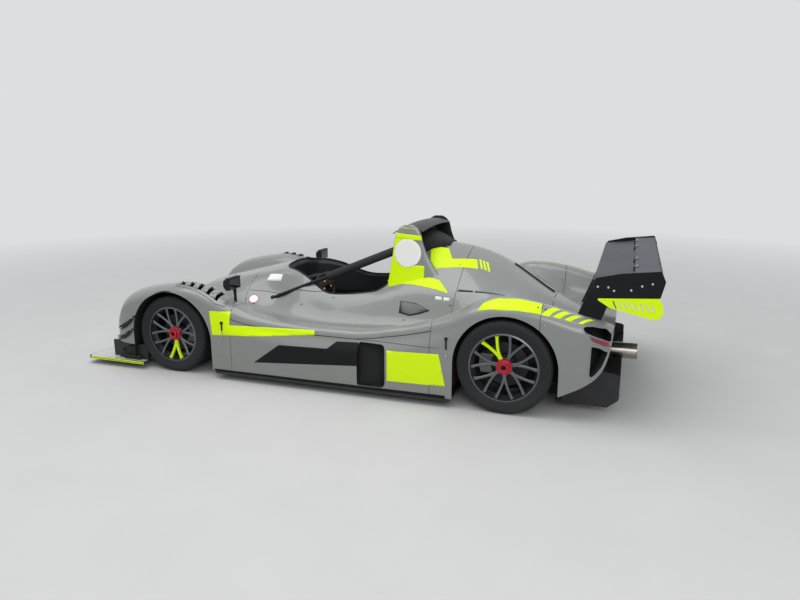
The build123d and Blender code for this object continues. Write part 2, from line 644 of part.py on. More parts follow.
def exhaust():
    """Silencer and tail pipe, open at the rear."""
    pipe = extrude(Plane.YZ.offset(XR - 785) * Pos(EXHAUST_Y, EXHAUST_Z) * Circle(EXHAUST_R), 260)
    bore = extrude(Plane.YZ.offset(XR - 786) * Pos(EXHAUST_Y, EXHAUST_Z) * Circle(EXHAUST_R - 4), 240)
    can = extrude(Plane.YZ.offset(XR - 525) * Pos(EXHAUST_Y, EXHAUST_Z) * Circle(80), 330)
    lead = rod((XR - 200, EXHAUST_Y + 12, 330), (XR + 180, 265, 372), 25)
    bracket = block(XR - 300, XR - 280, 105, EXHAUST_Y - 70, 290, 310)
    return pipe - bore + can + lead + bracket


LAMP_X = (-618, -520)
LAMP_Z = (492, 520)
LAMP_THICK = 6.0
CORNER_X = -300.0


def tail_lamps():
    """A lamp strip round each rear corner, between the two openings."""
    band = beside([row for row in BODY_ROWS if row[0] < CORNER_X], 0, LAMP_THICK, 600)
    return both_sides(band & block(XR + LAMP_X[0], XR + LAMP_X[1], 600, 900, *LAMP_Z))


WING_LOW_Z = 884.0
PLANE_ROWS = [
    # x and z of the main plane's section, corner radius
    (-505, 880, 0), (-500, 896, 0), (-600, 905, 0), (-745, 926, 0), (-748, 922, 0), (-640, 884, 0)]
FLAP_ROWS = [(-728, 945, 0), (-726, 955, 0), (-800, 962, 0), (-868, 1000, 0), (-871, 997, 0), (-800, 948, 0)]
PLATE_ROWS = [
    (-508, 906, 10), (-868, 1004, 10), (-895, 850, 30), (-895, 725, 25), (-862, 676, 20), (-610, 730, 60),
    (-520, 790, 20)]


PLATE_SLOTS = 8
PLATE_SLOT_X = -612.0
PLATE_SLOT_Z = 782.0
PLATE_SLOT_PITCH = 30.0
PLATE_SLOT_FALL = 1.5
PLATE_SLOT_WIDTH = 12.0
PLATE_SLOT_SLANT = 22.0
PLATE_SLOT_DEEP = 48.0


def wing_planes():
    shapes = []
    for rows in (PLANE_ROWS, FLAP_ROWS):
        shapes.append(side_prism(placed(rows), -WING_HALF_SPAN, WING_HALF_SPAN))
    return Compound(children=shapes)


def wing_endplates():
    """Endplates with a row of slanted slots along the lower edge."""
    plate = side_prism(placed(PLATE_ROWS), WING_HALF_SPAN, WING_HALF_SPAN + WING_PLATE)
    for k in range(PLATE_SLOTS):
        x, z = PLATE_SLOT_X - k * PLATE_SLOT_PITCH, PLATE_SLOT_Z - k * PLATE_SLOT_FALL
        rear, low = x - PLATE_SLOT_WIDTH, z - PLATE_SLOT_DEEP
        slot = [(x, z, 0), (rear, z, 0), (rear - PLATE_SLOT_SLANT, low, 0), (x - PLATE_SLOT_SLANT, low, 0)]
        plate = plate - side_prism(placed(slot), WING_HALF_SPAN - 1, WING_HALF_SPAN + WING_PLATE + 1)
    return both_sides(plate)


PYLON_ROWS = [(-345, 440, 0), (-520, 885, 0), (-690, 903, 0), (-660, 860, 60), (-535, 500, 0), (-530, 440, 0)]


def wing_pylons(outside):
    """Two swept plates from the tail deck to the underside of the main plane."""
    plates = side_prism(placed(PYLON_ROWS), PYLON_Y - PYLON_THICK / 2, PYLON_Y + PYLON_THICK / 2)
    plane = side_prism(placed(PLANE_ROWS), -WING_HALF_SPAN, WING_HALF_SPAN)
    above = block(XR - 800, XR - 500, -WING_HALF_SPAN, WING_HALF_SPAN, WING_LOW_Z, WING_LOW_Z + 200)
    return both_sides(plates - outside - plane - above)


# Mirrors

def mirrors(outside):
    """A mirror head on a blade that stands on the fender's shoulder."""
    head = block(XR + 1995, XR + 2050, 665, 815, 645, 735)
    stalk = block(XR + 1990, XR + 2030, 715, 727, 440, 645)
    return both_sides(head + stalk - outside)


# Suspension

def upright_y(end):
    """The inner and outer y of an upright's plate."""
    x, z, width, face, outer = WHEELS[end]
    hub = face - HUB_SET_IN
    return hub - SPINDLE_END + 0.5, hub - BELL_LENGTH - DISC_THICK - 16.0


def bush(x, y, z):
    """An inner pivot bush lying along the car."""
    return extrude(Plane.YZ.offset(x - 18) * Pos(y, z) * Circle(BUSH_R), 36)


BUSH_R = 14.0
FRONT_PIVOTS = [(160, 208 + BUSH_R + 0.3), (-160, 257 + BUSH_R + 4.5)]
REAR_PIVOTS = [(150, 105 + BUSH_R + 0.3), (-210, 105 + BUSH_R + 0.3)]


def suspension(end, pivots):
    x, z, width, face, outer = WHEELS[end]
    y0, y1 = upright_y(end)
    pin_y = (y0 + y1) / 2
    arms = []
    for s in (-1, 1):
        level = z + s * (KINGPIN_HALF + ARM_LIFT)
        arm = tube_z(x, pin_y, 19, level - 9, level + 9)
        for dx, y in pivots:
            arm = arm + rod((x, pin_y, level), (x + dx, y, level), ARM_R) + bush(x + dx, y, level)
        if end == "f":
            arm = arm - tube_z(x, pin_y, KINGPIN_R + PIN_GAP, level - 40, level + 40)
        arms += [arm, mirror(arm, about=Plane.XZ)]
    return Compound(children=arms)


EYE_R = 7.5
EYE_SLOT = 5.0


def steering_rack():
    """Rack bar and track rods in one piece, with a slotted eye round each steering pin."""
    x, z, width, face, outer = WHEELS["f"]
    y0, y1 = upright_y("f")
    pin_y = (y0 + y1) / 2
    level = z + 46
    bar = tube_y(x + STEER_ARM, level, 10, -pin_y, pin_y)
    for s in (-1, 1):
        bar = bar + tube_z(x + STEER_ARM, s * pin_y, 15, level - 6, level + 6)
    for s in (-1, 1):
        y, low, high = s * pin_y, level - 20, level + 20
        slot = block(x + STEER_ARM - EYE_SLOT, x + STEER_ARM, y - EYE_R, y + EYE_R, low, high)
        bar = bar - tube_z(x + STEER_ARM, y, EYE_R, low, high) - slot
        bar = bar - tube_z(x + STEER_ARM - EYE_SLOT, y, EYE_R, low, high)
    return bar


TOW_BORE_R = 22.0
TOW_RING_R = 36.0
TOW_THICK = 12.0


def tow_ring(x, z):
    half = TOW_THICK / 2
    return tube_y(x, z, TOW_RING_R, -half, half)


def tow_eyes():
    """A towing ring at each end: one on the splitter, one on the gearbox tail."""
    half = TOW_THICK / 2
    front_x, front_z = XF + 690, 112
    rear_x, rear_z = XR - 560, 265
    front = tow_ring(front_x, front_z) + block(front_x - 36, front_x + 36, -half, half, FLOOR_Z + FLOOR_THICK,
                                               front_z)
    rear = tow_ring(rear_x, rear_z) + block(rear_x, XR - 500, -half, half, rear_z - 25, rear_z + 25)
    front = front - tube_y(front_x, front_z, TOW_BORE_R, -half - 1, half + 1)
    rear = rear - tube_y(rear_x, rear_z, TOW_BORE_R, -half - 1, half + 1)
    return Compound(children=[front, rear])


def build():
    outside = body_form()
    for node, shape in body_panels(outside).items():
        save(node, shape)
    for node, make in (("hoop_fairings", hoop_fairings), ("air_intake", air_intake), ("mirrors", mirrors),
                       ("wing_pylons", wing_pylons)):
        save(node, make(outside))
    for end in ("f", "r"):
        for name, make in (("tyre", tyre), ("rim", rim), ("hub", disc)):
            left = make(end)
            save(name + "_" + end + "l", left)
            save(name + "_" + end + "r", mirror(left, about=Plane.XZ))
    knuckle = upright("f")
    save("upright_fl", knuckle)
    save("upright_fr", mirror(knuckle, about=Plane.XZ))
    save("uprights_rear", both_sides(upright("r")))
    save("suspension_front", suspension("f", FRONT_PIVOTS))
    save("suspension_rear", suspension("r", REAR_PIVOTS))
    save("steering_rack", steering_rack())
    for node, make in (("undertray", undertray), ("splitter", splitter), ("dive_planes", dive_planes),
                       ("diffuser", diffuser), ("tub", tub), ("front_frame", front_frame), ("seat", seat),
                       ("dash", dash), ("steering_wheel", steering_wheel), ("roll_hoop", roll_hoop),
                       ("front_braces", front_braces), ("engine", engine), ("gearbox", gearbox),
                       ("exhaust", exhaust), ("tail_lamps", tail_lamps), ("wing_planes", wing_planes),
                       ("wing_endplates", wing_endplates), ("tow_eyes", tow_eyes)):
        save(node, make())


build()
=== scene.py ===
# %% [markdown]
# # A sports prototype race car
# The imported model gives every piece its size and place. This file dresses it: painted panels, wheels,
# carbon parts, cockpit and wing are surfaces computed with numpy, and every finish is a node material.
# All lengths are metres. X runs to the nose, Y to the car's left and Z up.

import bmesh
import bpy
import numpy as np
from mathutils import Matrix, Vector


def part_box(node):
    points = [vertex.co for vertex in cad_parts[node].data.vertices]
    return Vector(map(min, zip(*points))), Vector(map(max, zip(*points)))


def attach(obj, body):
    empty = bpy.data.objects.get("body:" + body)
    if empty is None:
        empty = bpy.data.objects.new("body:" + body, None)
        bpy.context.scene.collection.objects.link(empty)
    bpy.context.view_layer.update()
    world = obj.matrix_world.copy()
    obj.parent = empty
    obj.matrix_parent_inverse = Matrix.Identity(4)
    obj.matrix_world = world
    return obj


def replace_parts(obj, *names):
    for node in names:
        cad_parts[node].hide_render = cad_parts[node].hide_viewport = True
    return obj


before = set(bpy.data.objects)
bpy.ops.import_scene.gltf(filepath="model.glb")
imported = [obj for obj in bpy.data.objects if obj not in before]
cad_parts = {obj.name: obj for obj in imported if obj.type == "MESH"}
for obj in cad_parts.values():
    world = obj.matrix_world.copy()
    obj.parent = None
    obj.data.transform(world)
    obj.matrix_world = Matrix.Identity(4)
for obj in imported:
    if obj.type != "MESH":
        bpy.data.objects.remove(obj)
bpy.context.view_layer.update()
rear_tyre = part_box("tyre_rl")
front_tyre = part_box("tyre_fl")
REAR_X = (rear_tyre[0].x + rear_tyre[1].x) / 2
FRONT_X = (front_tyre[0].x + front_tyre[1].x) / 2
REAR_R = (rear_tyre[1].z - rear_tyre[0].z) / 2
FRONT_R = (front_tyre[1].z - front_tyre[0].z) / 2
print("axles at", round(REAR_X, 4), round(FRONT_X, 4), "tyre radii", round(REAR_R, 4), round(FRONT_R, 4))

# %% [markdown]
# ## The camera
# The photograph was taken from beside the car's left rear corner. The place, the three angles and the lens
# were solved from the tyre outlines, and are written here as real sizes.

# %% Camera
EYE = (-1.8845, 4.736, 1.609)
HEADING, DOWN, ROLL = np.radians((-70.529, 12.639, -0.192))
SENSOR_WIDTH, LENS = 36.0, 29.447


def aim_camera():
    """Turns the camera so that it looks along the heading, tipped down, with a slight roll."""
    forward = np.array((np.cos(DOWN) * np.cos(HEADING), np.cos(DOWN) * np.sin(HEADING), -np.sin(DOWN)))
    level = np.array((np.sin(HEADING), -np.cos(HEADING), 0.0))
    above = np.cross(level, forward)
    right = np.cos(ROLL) * level + np.sin(ROLL) * above
    up = np.cos(ROLL) * above - np.sin(ROLL) * level
    data = bpy.data.cameras.new("view")
    data.sensor_width, data.lens = SENSOR_WIDTH, LENS
    camera = bpy.data.objects.new("view", data)
    turn = np.stack((right, up, -forward), 1)
    camera.matrix_world = Matrix([[*row, place] for row, place in zip(turn, EYE)] + [[0, 0, 0, 1]])
    bpy.context.scene.collection.objects.link(camera)
    bpy.context.scene.camera = camera


aim_camera()
print("camera lens", LENS, "mm on a sensor", SENSOR_WIDTH, "mm wide")

# %% [markdown]
# ## Helpers for numpy surfaces
# Most shapes here are a grid of points, one row of points for each place along the piece. One helper turns
# such a grid into a mesh. Another draws a smooth line through a few known heights without overshooting.

# %% Grids to meshes
PIECES = {}


def new_piece(name, points, faces, material, smooth=30):
    """A mesh object at the origin; edges sharper than smooth degrees stay crisp."""
    mesh = bpy.data.meshes.new(name)
    mesh.from_pydata(np.asarray(points, float).reshape(-1, 3).tolist(), [], [list(f) for f in faces])
    mesh.validate()
    return add_mesh(name, mesh, material, smooth)


def add_mesh(name, mesh, material, smooth=30):
    """Links a mesh as a piece, with its material and shading."""
    for item in material if isinstance(material, (list, tuple)) else [material]:
        mesh.materials.append(item)
    mesh.shade_smooth()
    mesh.set_sharp_from_angle(angle=np.radians(smooth))
    piece = bpy.data.objects.new(name, mesh)
    bpy.context.scene.collection.objects.link(piece)
    PIECES[name] = piece
    return piece


def grid_faces(rows, columns, around=False, along=False):
    """Quads of a grid of rows by columns points; around closes the columns and along closes the rows."""
    i = np.arange(rows if along else rows - 1)[:, None]
    j = np.arange(columns if around else columns - 1)[None, :]
    i2, j2 = (i + 1) % rows, (j + 1) % columns
    corners = (i * columns + j, i2 * columns + j, i2 * columns + j2, i * columns + j2)
    return np.stack(corners, -1).reshape(-1, 4)


def with_mirror(points, faces):
    """The left side's points and faces with their mirror images, whose faces run the other way round."""
    faces = [list(face) for face in faces]
    mirror = [[i + len(points) for i in face[::-1]] for face in faces]
    return np.concatenate([points, points * (1, -1, 1)]), faces + mirror


def joined(parts):
    """Several parts, each made of points and faces, as one."""
    points = [np.asarray(p, float).reshape(-1, 3) for p, f in parts]
    starts = np.cumsum([0] + [len(p) for p in points])
    faces = [[i + start for i in face] for (p, f), start in zip(parts, starts) for face in f]
    return np.concatenate(points), faces


def report(*names):
    """Prints the pieces that a cell made, each with its number of faces."""
    print("; ".join(f"{name} {len(PIECES[name].data.polygons)} faces" for name in names))


def smooth_through(places, heights, at):
    """Monotone cubic line through heights at rising places, read at new places; rows may differ."""
    places, heights, at = (np.atleast_2d(np.asarray(a, float)) for a in (places, heights, at))
    rows = max(len(places), len(heights), len(at))
    x, z, q = (np.broadcast_to(a, (rows, a.shape[1])) for a in (places, heights, at))
    step = np.diff(x, axis=1)
    slope = np.diff(z, axis=1) / step
    before, after = slope[:, :-1], slope[:, 1:]
    w1, w2 = 2 * step[:, 1:] + step[:, :-1], step[:, 1:] + 2 * step[:, :-1]
    with np.errstate(divide="ignore", invalid="ignore"):
        middle = np.where(before * after > 0, (w1 + w2) / (w1 / before + w2 / after), 0.0)
    tangent = np.concatenate([slope[:, :1], middle, slope[:, -1:]], 1)
    k = np.clip((q[:, :, None] >= x[:, None, 1:-1]).sum(-1), 0, x.shape[1] - 2)
    x0, z0, m0 = (np.take_along_axis(a, k, 1) for a in (x, z, tangent))
    x1, z1, m1 = (np.take_along_axis(a, k + 1, 1) for a in (x, z, tangent))
    h = x1 - x0
    t = np.clip((q - x0) / h, 0, 1)
    return (z0 * (1 + 2 * t) * (1 - t) ** 2 + z1 * t * t * (3 - 2 * t)
            + h * m0 * t * (1 - t) ** 2 + h * m1 * t * t * (t - 1))

# %% [markdown]
# ## Paint, carbon and the other finishes
# Real paint is not one flat colour: it has a faint orange-peel ripple, a little dust in the lower places
# and small changes of gloss. Three shared groups make these effects: grain, road dust and a carbon weave.
# Each material places them with its own values.

# %% Shared shader groups
def group(name, inputs, outputs):
    """An empty shader group with named sockets, its input and output nodes ready."""
    tree = bpy.data.node_groups.new(name, "ShaderNodeTree")
    for label, kind, value in inputs:
        socket = tree.interface.new_socket(label, in_out="INPUT", socket_type="NodeSocket" + kind)
        socket.default_value = value
    for label, kind in outputs:
        tree.interface.new_socket(label, in_out="OUTPUT", socket_type="NodeSocket" + kind)
    return tree, tree.nodes.new("NodeGroupInput"), tree.nodes.new("NodeGroupOutput")


def math_node(tree, operation, a, b=0.0, clamp=False):
    """A math node; each side is a socket or a number."""
    node = tree.nodes.new("ShaderNodeMath")
    node.operation, node.use_clamp = operation, clamp
    for socket, value in zip(node.inputs, (a, b)):
        if isinstance(value, bpy.types.NodeSocket):
            tree.links.new(value, socket)
        else:
            socket.default_value = value
    return node.outputs[0]


def noise_node(tree, vector, scale, detail=3.0):
    """Noise at the object's own coordinates."""
    node = tree.nodes.new("ShaderNodeTexNoise")
    tree.links.new(vector, node.inputs["Vector"])
    if isinstance(scale, bpy.types.NodeSocket):
        tree.links.new(scale, node.inputs["Scale"])
    else:
        node.inputs["Scale"].default_value = scale
    node.inputs["Detail"].default_value = detail
    return node.outputs["Fac"]


def object_place(tree):
    """The object's own coordinates, in metres."""
    return tree.nodes.new("ShaderNodeTexCoord").outputs["Object"]


def make_grain():
    """Fine height ripple and a slow mask for gloss and shade."""
    inputs = [("Fine scale", "Float", 400.0), ("Slow scale", "Float", 3.0)]
    tree, given, result = group("surface grain", inputs, [("Height", "Float"), ("Mask", "Float")])
    place = object_place(tree)
    tree.links.new(noise_node(tree, place, given.outputs["Fine scale"], 2.0), result.inputs["Height"])
    tree.links.new(noise_node(tree, place, given.outputs["Slow scale"], 4.0), result.inputs["Mask"])
    return tree


def make_dust():
    """A mask that is strongest near the ground and broken up by noise."""
    tree, given, result = group("road dust", [("Top", "Float", 0.4), ("Strength", "Float", 0.5)],
                                [("Mask", "Float")])
    place = object_place(tree)
    split = tree.nodes.new("ShaderNodeSeparateXYZ")
    tree.links.new(place, split.inputs[0])
    share = math_node(tree, "DIVIDE", split.outputs["Z"], given.outputs["Top"])
    low = math_node(tree, "SUBTRACT", 1.0, share, True)
    patchy = math_node(tree, "MULTIPLY", low, noise_node(tree, place, 9.0, 6.0))
    mask = math_node(tree, "MULTIPLY", patchy, given.outputs["Strength"], True)
    tree.links.new(mask, result.inputs["Mask"])
    return tree


def make_weave():
    """Two by two twill: bands that run along X and along Y and swap in steps."""
    tree, given, result = group("carbon weave", [("Scale", "Float", 320.0)],
                                [("Mask", "Float"), ("Height", "Float")])
    split = tree.nodes.new("ShaderNodeSeparateXYZ")
    tree.links.new(object_place(tree), split.inputs[0])
    side = math_node(tree, "ADD", split.outputs["Y"], split.outputs["Z"])
    a = math_node(tree, "MULTIPLY", split.outputs["X"], given.outputs["Scale"])
    b = math_node(tree, "MULTIPLY", side, given.outputs["Scale"])
    steps = math_node(tree, "ADD", math_node(tree, "FLOOR", a), math_node(tree, "FLOOR", b))
    over = math_node(tree, "LESS_THAN", math_node(tree, "FLOORED_MODULO", steps, 4.0), 1.5)
    tree.links.new(over, result.inputs["Mask"])
    bump = math_node(tree, "MULTIPLY", math_node(tree, "SINE", math_node(tree, "MULTIPLY", a, 3.14159)), over)
    tree.links.new(bump, result.inputs["Height"])
    return tree


GRAIN, DUST, WEAVE = make_grain(), make_dust(), make_weave()

# %% Materials
DUST_COLOUR = (0.20, 0.18, 0.16, 1.0)


def linear(red, green, blue):
    """A screen colour from 0 to 255 as linear light."""
    c = np.array((red, green, blue)) / 255
    return (*np.where(c <= 0.04045, c / 12.92, ((c + 0.055) / 1.055) ** 2.4), 1.0)


def mix_colour(tree, mask, first, second):
    """A blend of two colours by a mask; each colour is a socket or a value."""
    node = tree.nodes.new("ShaderNodeMix")
    node.data_type = "RGBA"
    tree.links.new(mask, node.inputs["Factor"])
    for socket, value in ((node.inputs["A"], first), (node.inputs["B"], second)):
        if isinstance(value, bpy.types.NodeSocket):
            tree.links.new(value, socket)
        else:
            socket.default_value = value
    return node.outputs["Result"]


def spread(tree, mask, low, high):
    """Maps a mask of 0 to 1 to low to high."""
    return math_node(tree, "ADD", math_node(tree, "MULTIPLY", mask, high - low), low)


def finish_of(name, screen, rough, metal=0.0, coat=0.0, shade=0.12, fine=400.0, bump=0.05, dust=0.0,
              dust_top=0.4, weave=0.0, glow=0.0, shine=0.5):
    """A material of a screen colour, with grain, gloss change, an optional weave and optional road dust."""
    colour = linear(*screen)
    material = bpy.data.materials.new(name)
    material.use_nodes = True
    tree = material.node_tree
    shader = tree.nodes["Principled BSDF"]
    grain = tree.nodes.new("ShaderNodeGroup")
    grain.node_tree = GRAIN
    grain.inputs["Fine scale"].default_value = fine
    darker = tuple(c * (1 - shade) for c in colour[:3]) + (1.0,)
    brighter = tuple(min(1.0, c * (1 + shade)) for c in colour[:3]) + (1.0,)
    base = mix_colour(tree, grain.outputs["Mask"], darker, brighter)
    height = grain.outputs["Height"]
    rough_value = spread(tree, grain.outputs["Mask"], rough * 0.85, rough * 1.15)
    if weave:
        cloth = tree.nodes.new("ShaderNodeGroup")
        cloth.node_tree = WEAVE
        lighter = tuple(min(1.0, c * (1 + weave) + 0.004 * weave) for c in colour[:3]) + (1.0,)
        base = mix_colour(tree, cloth.outputs["Mask"], base, lighter)
        height = cloth.outputs["Height"]
    if dust:
        road = tree.nodes.new("ShaderNodeGroup")
        road.node_tree = DUST
        road.inputs["Top"].default_value = dust_top
        road.inputs["Strength"].default_value = dust
        base = mix_colour(tree, road.outputs["Mask"], base, DUST_COLOUR)
        dulled = math_node(tree, "MULTIPLY", road.outputs["Mask"], 0.4)
        rough_value = math_node(tree, "ADD", rough_value, dulled, True)
    tree.links.new(base, shader.inputs["Base Color"])
    tree.links.new(rough_value, shader.inputs["Roughness"])
    relief = tree.nodes.new("ShaderNodeBump")
    relief.inputs["Strength"].default_value = bump
    relief.inputs["Distance"].default_value = 0.0006
    tree.links.new(height, relief.inputs["Height"])
    tree.links.new(relief.outputs["Normal"], shader.inputs["Normal"])
    shader.inputs["Metallic"].default_value = metal
    shader.inputs["Coat Weight"].default_value = coat
    shader.inputs["Coat Roughness"].default_value = 0.06
    shader.inputs["Specular IOR Level"].default_value = shine
    if glow:
        shader.inputs["Emission Color"].default_value = colour
        shader.inputs["Emission Strength"].default_value = glow
    return material


PAINT = finish_of("grey_paint", (122, 127, 124), 0.32, coat=0.6, shade=0.04, bump=0.015, dust=0.45)
LIME = finish_of("lime_film", (208, 242, 0), 0.42, coat=0.1, shade=0.03, bump=0.02, dust=0.12, shine=0.15)
BLACK_FILM = finish_of("black_film", (18, 22, 23), 0.5, shade=0.05, bump=0.02, dust=0.03, shine=0.15)
WHITE_FILM = finish_of("white_film", (232, 232, 230), 0.4, shade=0.02, bump=0.02)
RED_FILM = finish_of("red_film", (200, 50, 60), 0.4, shade=0.03, bump=0.02)
PALE_PAINT = finish_of("pale_paint", (196, 197, 200), 0.35, coat=0.4, shade=0.04, bump=0.015, dust=0.5)
CARBON = finish_of("carbon", (22, 24, 27), 0.42, coat=0.12, shade=0.1, weave=0.9, bump=0.05, dust=0.15,
                   shine=0.3)
SATIN_BLACK = finish_of("satin_black", (22, 24, 26), 0.5, shade=0.12, dust=0.12, shine=0.25)
PADDING = finish_of("foam_pad", (26, 27, 29), 0.75, shade=0.2, fine=900.0, bump=0.35)
RUBBER = finish_of("tyre_rubber", (31, 34, 37), 0.68, shade=0.16, fine=700.0, bump=0.3, dust=0.12,
                   dust_top=0.3, shine=0.25)
WHEEL_GREY = finish_of("wheel_grey", (106, 108, 112), 0.3, metal=0.95, shade=0.1, dust=0.1)
CUT_METAL = finish_of("cut_metal", (178, 178, 180), 0.28, metal=1.0, shade=0.08)
RED_NUT = finish_of("red_anodised", (180, 44, 58), 0.36, metal=0.6, shade=0.08)
STEEL = finish_of("brushed_steel", (190, 184, 172), 0.25, metal=1.0, shade=0.14, fine=160.0, bump=0.12)
IRON = finish_of("disc_iron", (58, 59, 62), 0.5, metal=0.8, shade=0.15, shine=0.3)
ALLOY = finish_of("cast_alloy", (120, 120, 122), 0.5, metal=0.8, shade=0.15, fine=240.0, bump=0.35, dust=0.4)
CLOTH = finish_of("seat_cover", (34, 35, 38), 0.85, shade=0.15, fine=1200.0, bump=0.5)
LAMP_RED = finish_of("lamp_lens", (128, 18, 34), 0.2, coat=0.5, shade=0.1, glow=0.05)
SCREEN = finish_of("dark_glass", (14, 16, 20), 0.1, coat=1.0, shade=0.1)
BARREL = finish_of("rim_barrel", (100, 102, 105), 0.32, metal=0.9, shade=0.12, dust=0.1)
WING_CARBON = finish_of("wing_carbon", (44, 48, 56), 0.5, coat=0.05, shade=0.08, weave=0.4, bump=0.05,
                        shine=0.25)
FLAP_CARBON = finish_of("flap_carbon", (56, 60, 68), 0.5, coat=0.05, shade=0.08, weave=0.4, bump=0.05,
                        shine=0.25)
MIRROR_GLASS = finish_of("mirror_glass", (96, 102, 108), 0.06, metal=1.0, shade=0.03, bump=0.0)
SUEDE = finish_of("wheel_grip", (28, 28, 30), 0.85, shade=0.2, fine=1400.0, bump=0.4)
WEBBING = finish_of("belt_webbing", (38, 40, 44), 0.8, shade=0.15, fine=1100.0, bump=0.4)
DEEP_BLACK = finish_of("inner_black", (14, 15, 16), 0.8, shade=0.2)
print(len(bpy.data.materials), "materials")

# %% [markdown]
# ## Floor and studio light
# A pale floor, one broad lamp above, a softer one on the camera's side and a world that is brighter above
# give the overcast light of the photograph without changing the colours. Some metres from the car the floor
# turns, for the camera alone, into the plain shade of the background.

# %% Floor, lamps and world
PALE = (0.72, 0.73, 0.74, 1)
FLOOR_HALF, FADE_START, FADE_RUN = 60.0, 3.0, 7.0
FLOOR_TONES = (0.50, 0.50, 0.50, 1), (0.56, 0.56, 0.56, 1)
SKY_STRENGTH, SKY_LOW, SKY_HIGH = 0.68, (0.74, 0.76, 0.79, 1), (1.0, 1.0, 1.0, 1)
LAMP_TARGET = Vector((0, 0, 0.4))


def mix_shaders(tree, mask, first, second, output):
    """Shows the first shader where the mask is 0 and the second where it is 1."""
    mix = tree.nodes.new("ShaderNodeMixShader")
    for socket, source in zip(mix.inputs, (mask, first, second)):
        tree.links.new(source, socket)
    tree.links.new(mix.outputs[0], tree.nodes[output].inputs["Surface"])


def add_stage():
    """A pale floor that turns into the plain background, for the camera alone, some metres from the car."""
    points = FLOOR_HALF * np.array([(-1, -1, 0), (1, -1, 0), (1, 1, 0), (-1, 1, 0)])
    floor_paint = bpy.data.materials.new("pale_floor")
    floor_paint.use_nodes = True
    tree = floor_paint.node_tree
    shader = tree.nodes["Principled BSDF"]
    shader.inputs["Roughness"].default_value = 0.9
    place = object_place(tree)
    tone = mix_colour(tree, noise_node(tree, place, 2.0, 5.0), *FLOOR_TONES)
    tree.links.new(tone, shader.inputs["Base Color"])
    reach = tree.nodes.new("ShaderNodeVectorMath")
    reach.operation = "LENGTH"
    tree.links.new(place, reach.inputs[0])
    past = math_node(tree, "SUBTRACT", reach.outputs["Value"], FADE_START)
    far = math_node(tree, "DIVIDE", past, FADE_RUN, True)
    camera_ray = tree.nodes.new("ShaderNodeLightPath").outputs["Is Camera Ray"]
    plain = tree.nodes.new("ShaderNodeEmission")
    plain.inputs["Color"].default_value = PALE
    mask = math_node(tree, "MULTIPLY", far, camera_ray)
    mix_shaders(tree, mask, shader.outputs[0], plain.outputs[0], "Material Output")
    new_piece("floor", points, [(0, 1, 2, 3)], floor_paint)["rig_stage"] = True


def add_lamp(name, place, power, size):
    """An area lamp that points at the car's middle."""
    data = bpy.data.lights.new(name, "AREA")
    data.energy, data.size = power, size
    lamp = bpy.data.objects.new(name, data)
    lamp.location = place
    lamp.rotation_euler = (LAMP_TARGET - Vector(place)).to_track_quat("-Z", "Y").to_euler()
    bpy.context.scene.collection.objects.link(lamp)


add_stage()
add_lamp("sky_panel", (1.0, 1.5, 7.0), 330, 7.0)
add_lamp("side_panel", (-3.5, 6.5, 4.0), 150, 4.0)


def add_world():
    """Light that is stronger from above, as under an overcast sky. The camera, metal and glass see a plain
    shade instead."""
    world = bpy.data.worlds.new("studio")
    world.use_nodes = True
    tree = world.node_tree
    light = tree.nodes["Background"]
    split = tree.nodes.new("ShaderNodeSeparateXYZ")
    tree.links.new(tree.nodes.new("ShaderNodeTexCoord").outputs["Generated"], split.inputs[0])
    high = math_node(tree, "MAXIMUM", split.outputs["Z"], 0.0)
    tree.links.new(mix_colour(tree, high, SKY_LOW, SKY_HIGH), light.inputs["Color"])
    light.inputs["Strength"].default_value = SKY_STRENGTH
    plain = tree.nodes.new("ShaderNodeBackground")
    plain.inputs["Color"].default_value = PALE
    rays = tree.nodes.new("ShaderNodeLightPath").outputs
    reflected = math_node(tree, "MAXIMUM", rays["Is Glossy Ray"], rays["Is Transmission Ray"])
    seen = math_node(tree, "MAXIMUM", rays["Is Camera Ray"], reflected)
    mix_shaders(tree, seen, light.outputs[0], plain.outputs[0], "World Output")
    bpy.context.scene.world = world


add_world()
bpy.context.scene.view_settings.view_transform = "Standard"
print("sky strength", SKY_STRENGTH)

# %% [markdown]
# ## The painted body
# The real body is a few large moulded panels that flow into each other: a crowned nose, front fenders, long
# side pods, a spine behind the driver and the rear fenders. A lofted surface suits that. Each row of the
# first table is one cut across the left half: the height at the middle, then the shoulder, the flank, the
# channel beside the fender, and the fender's crest. The second table gives the outline seen from above,
# the rounding of the outer edge and the lower edge. Monotone lines join the rows, so nothing bulges.

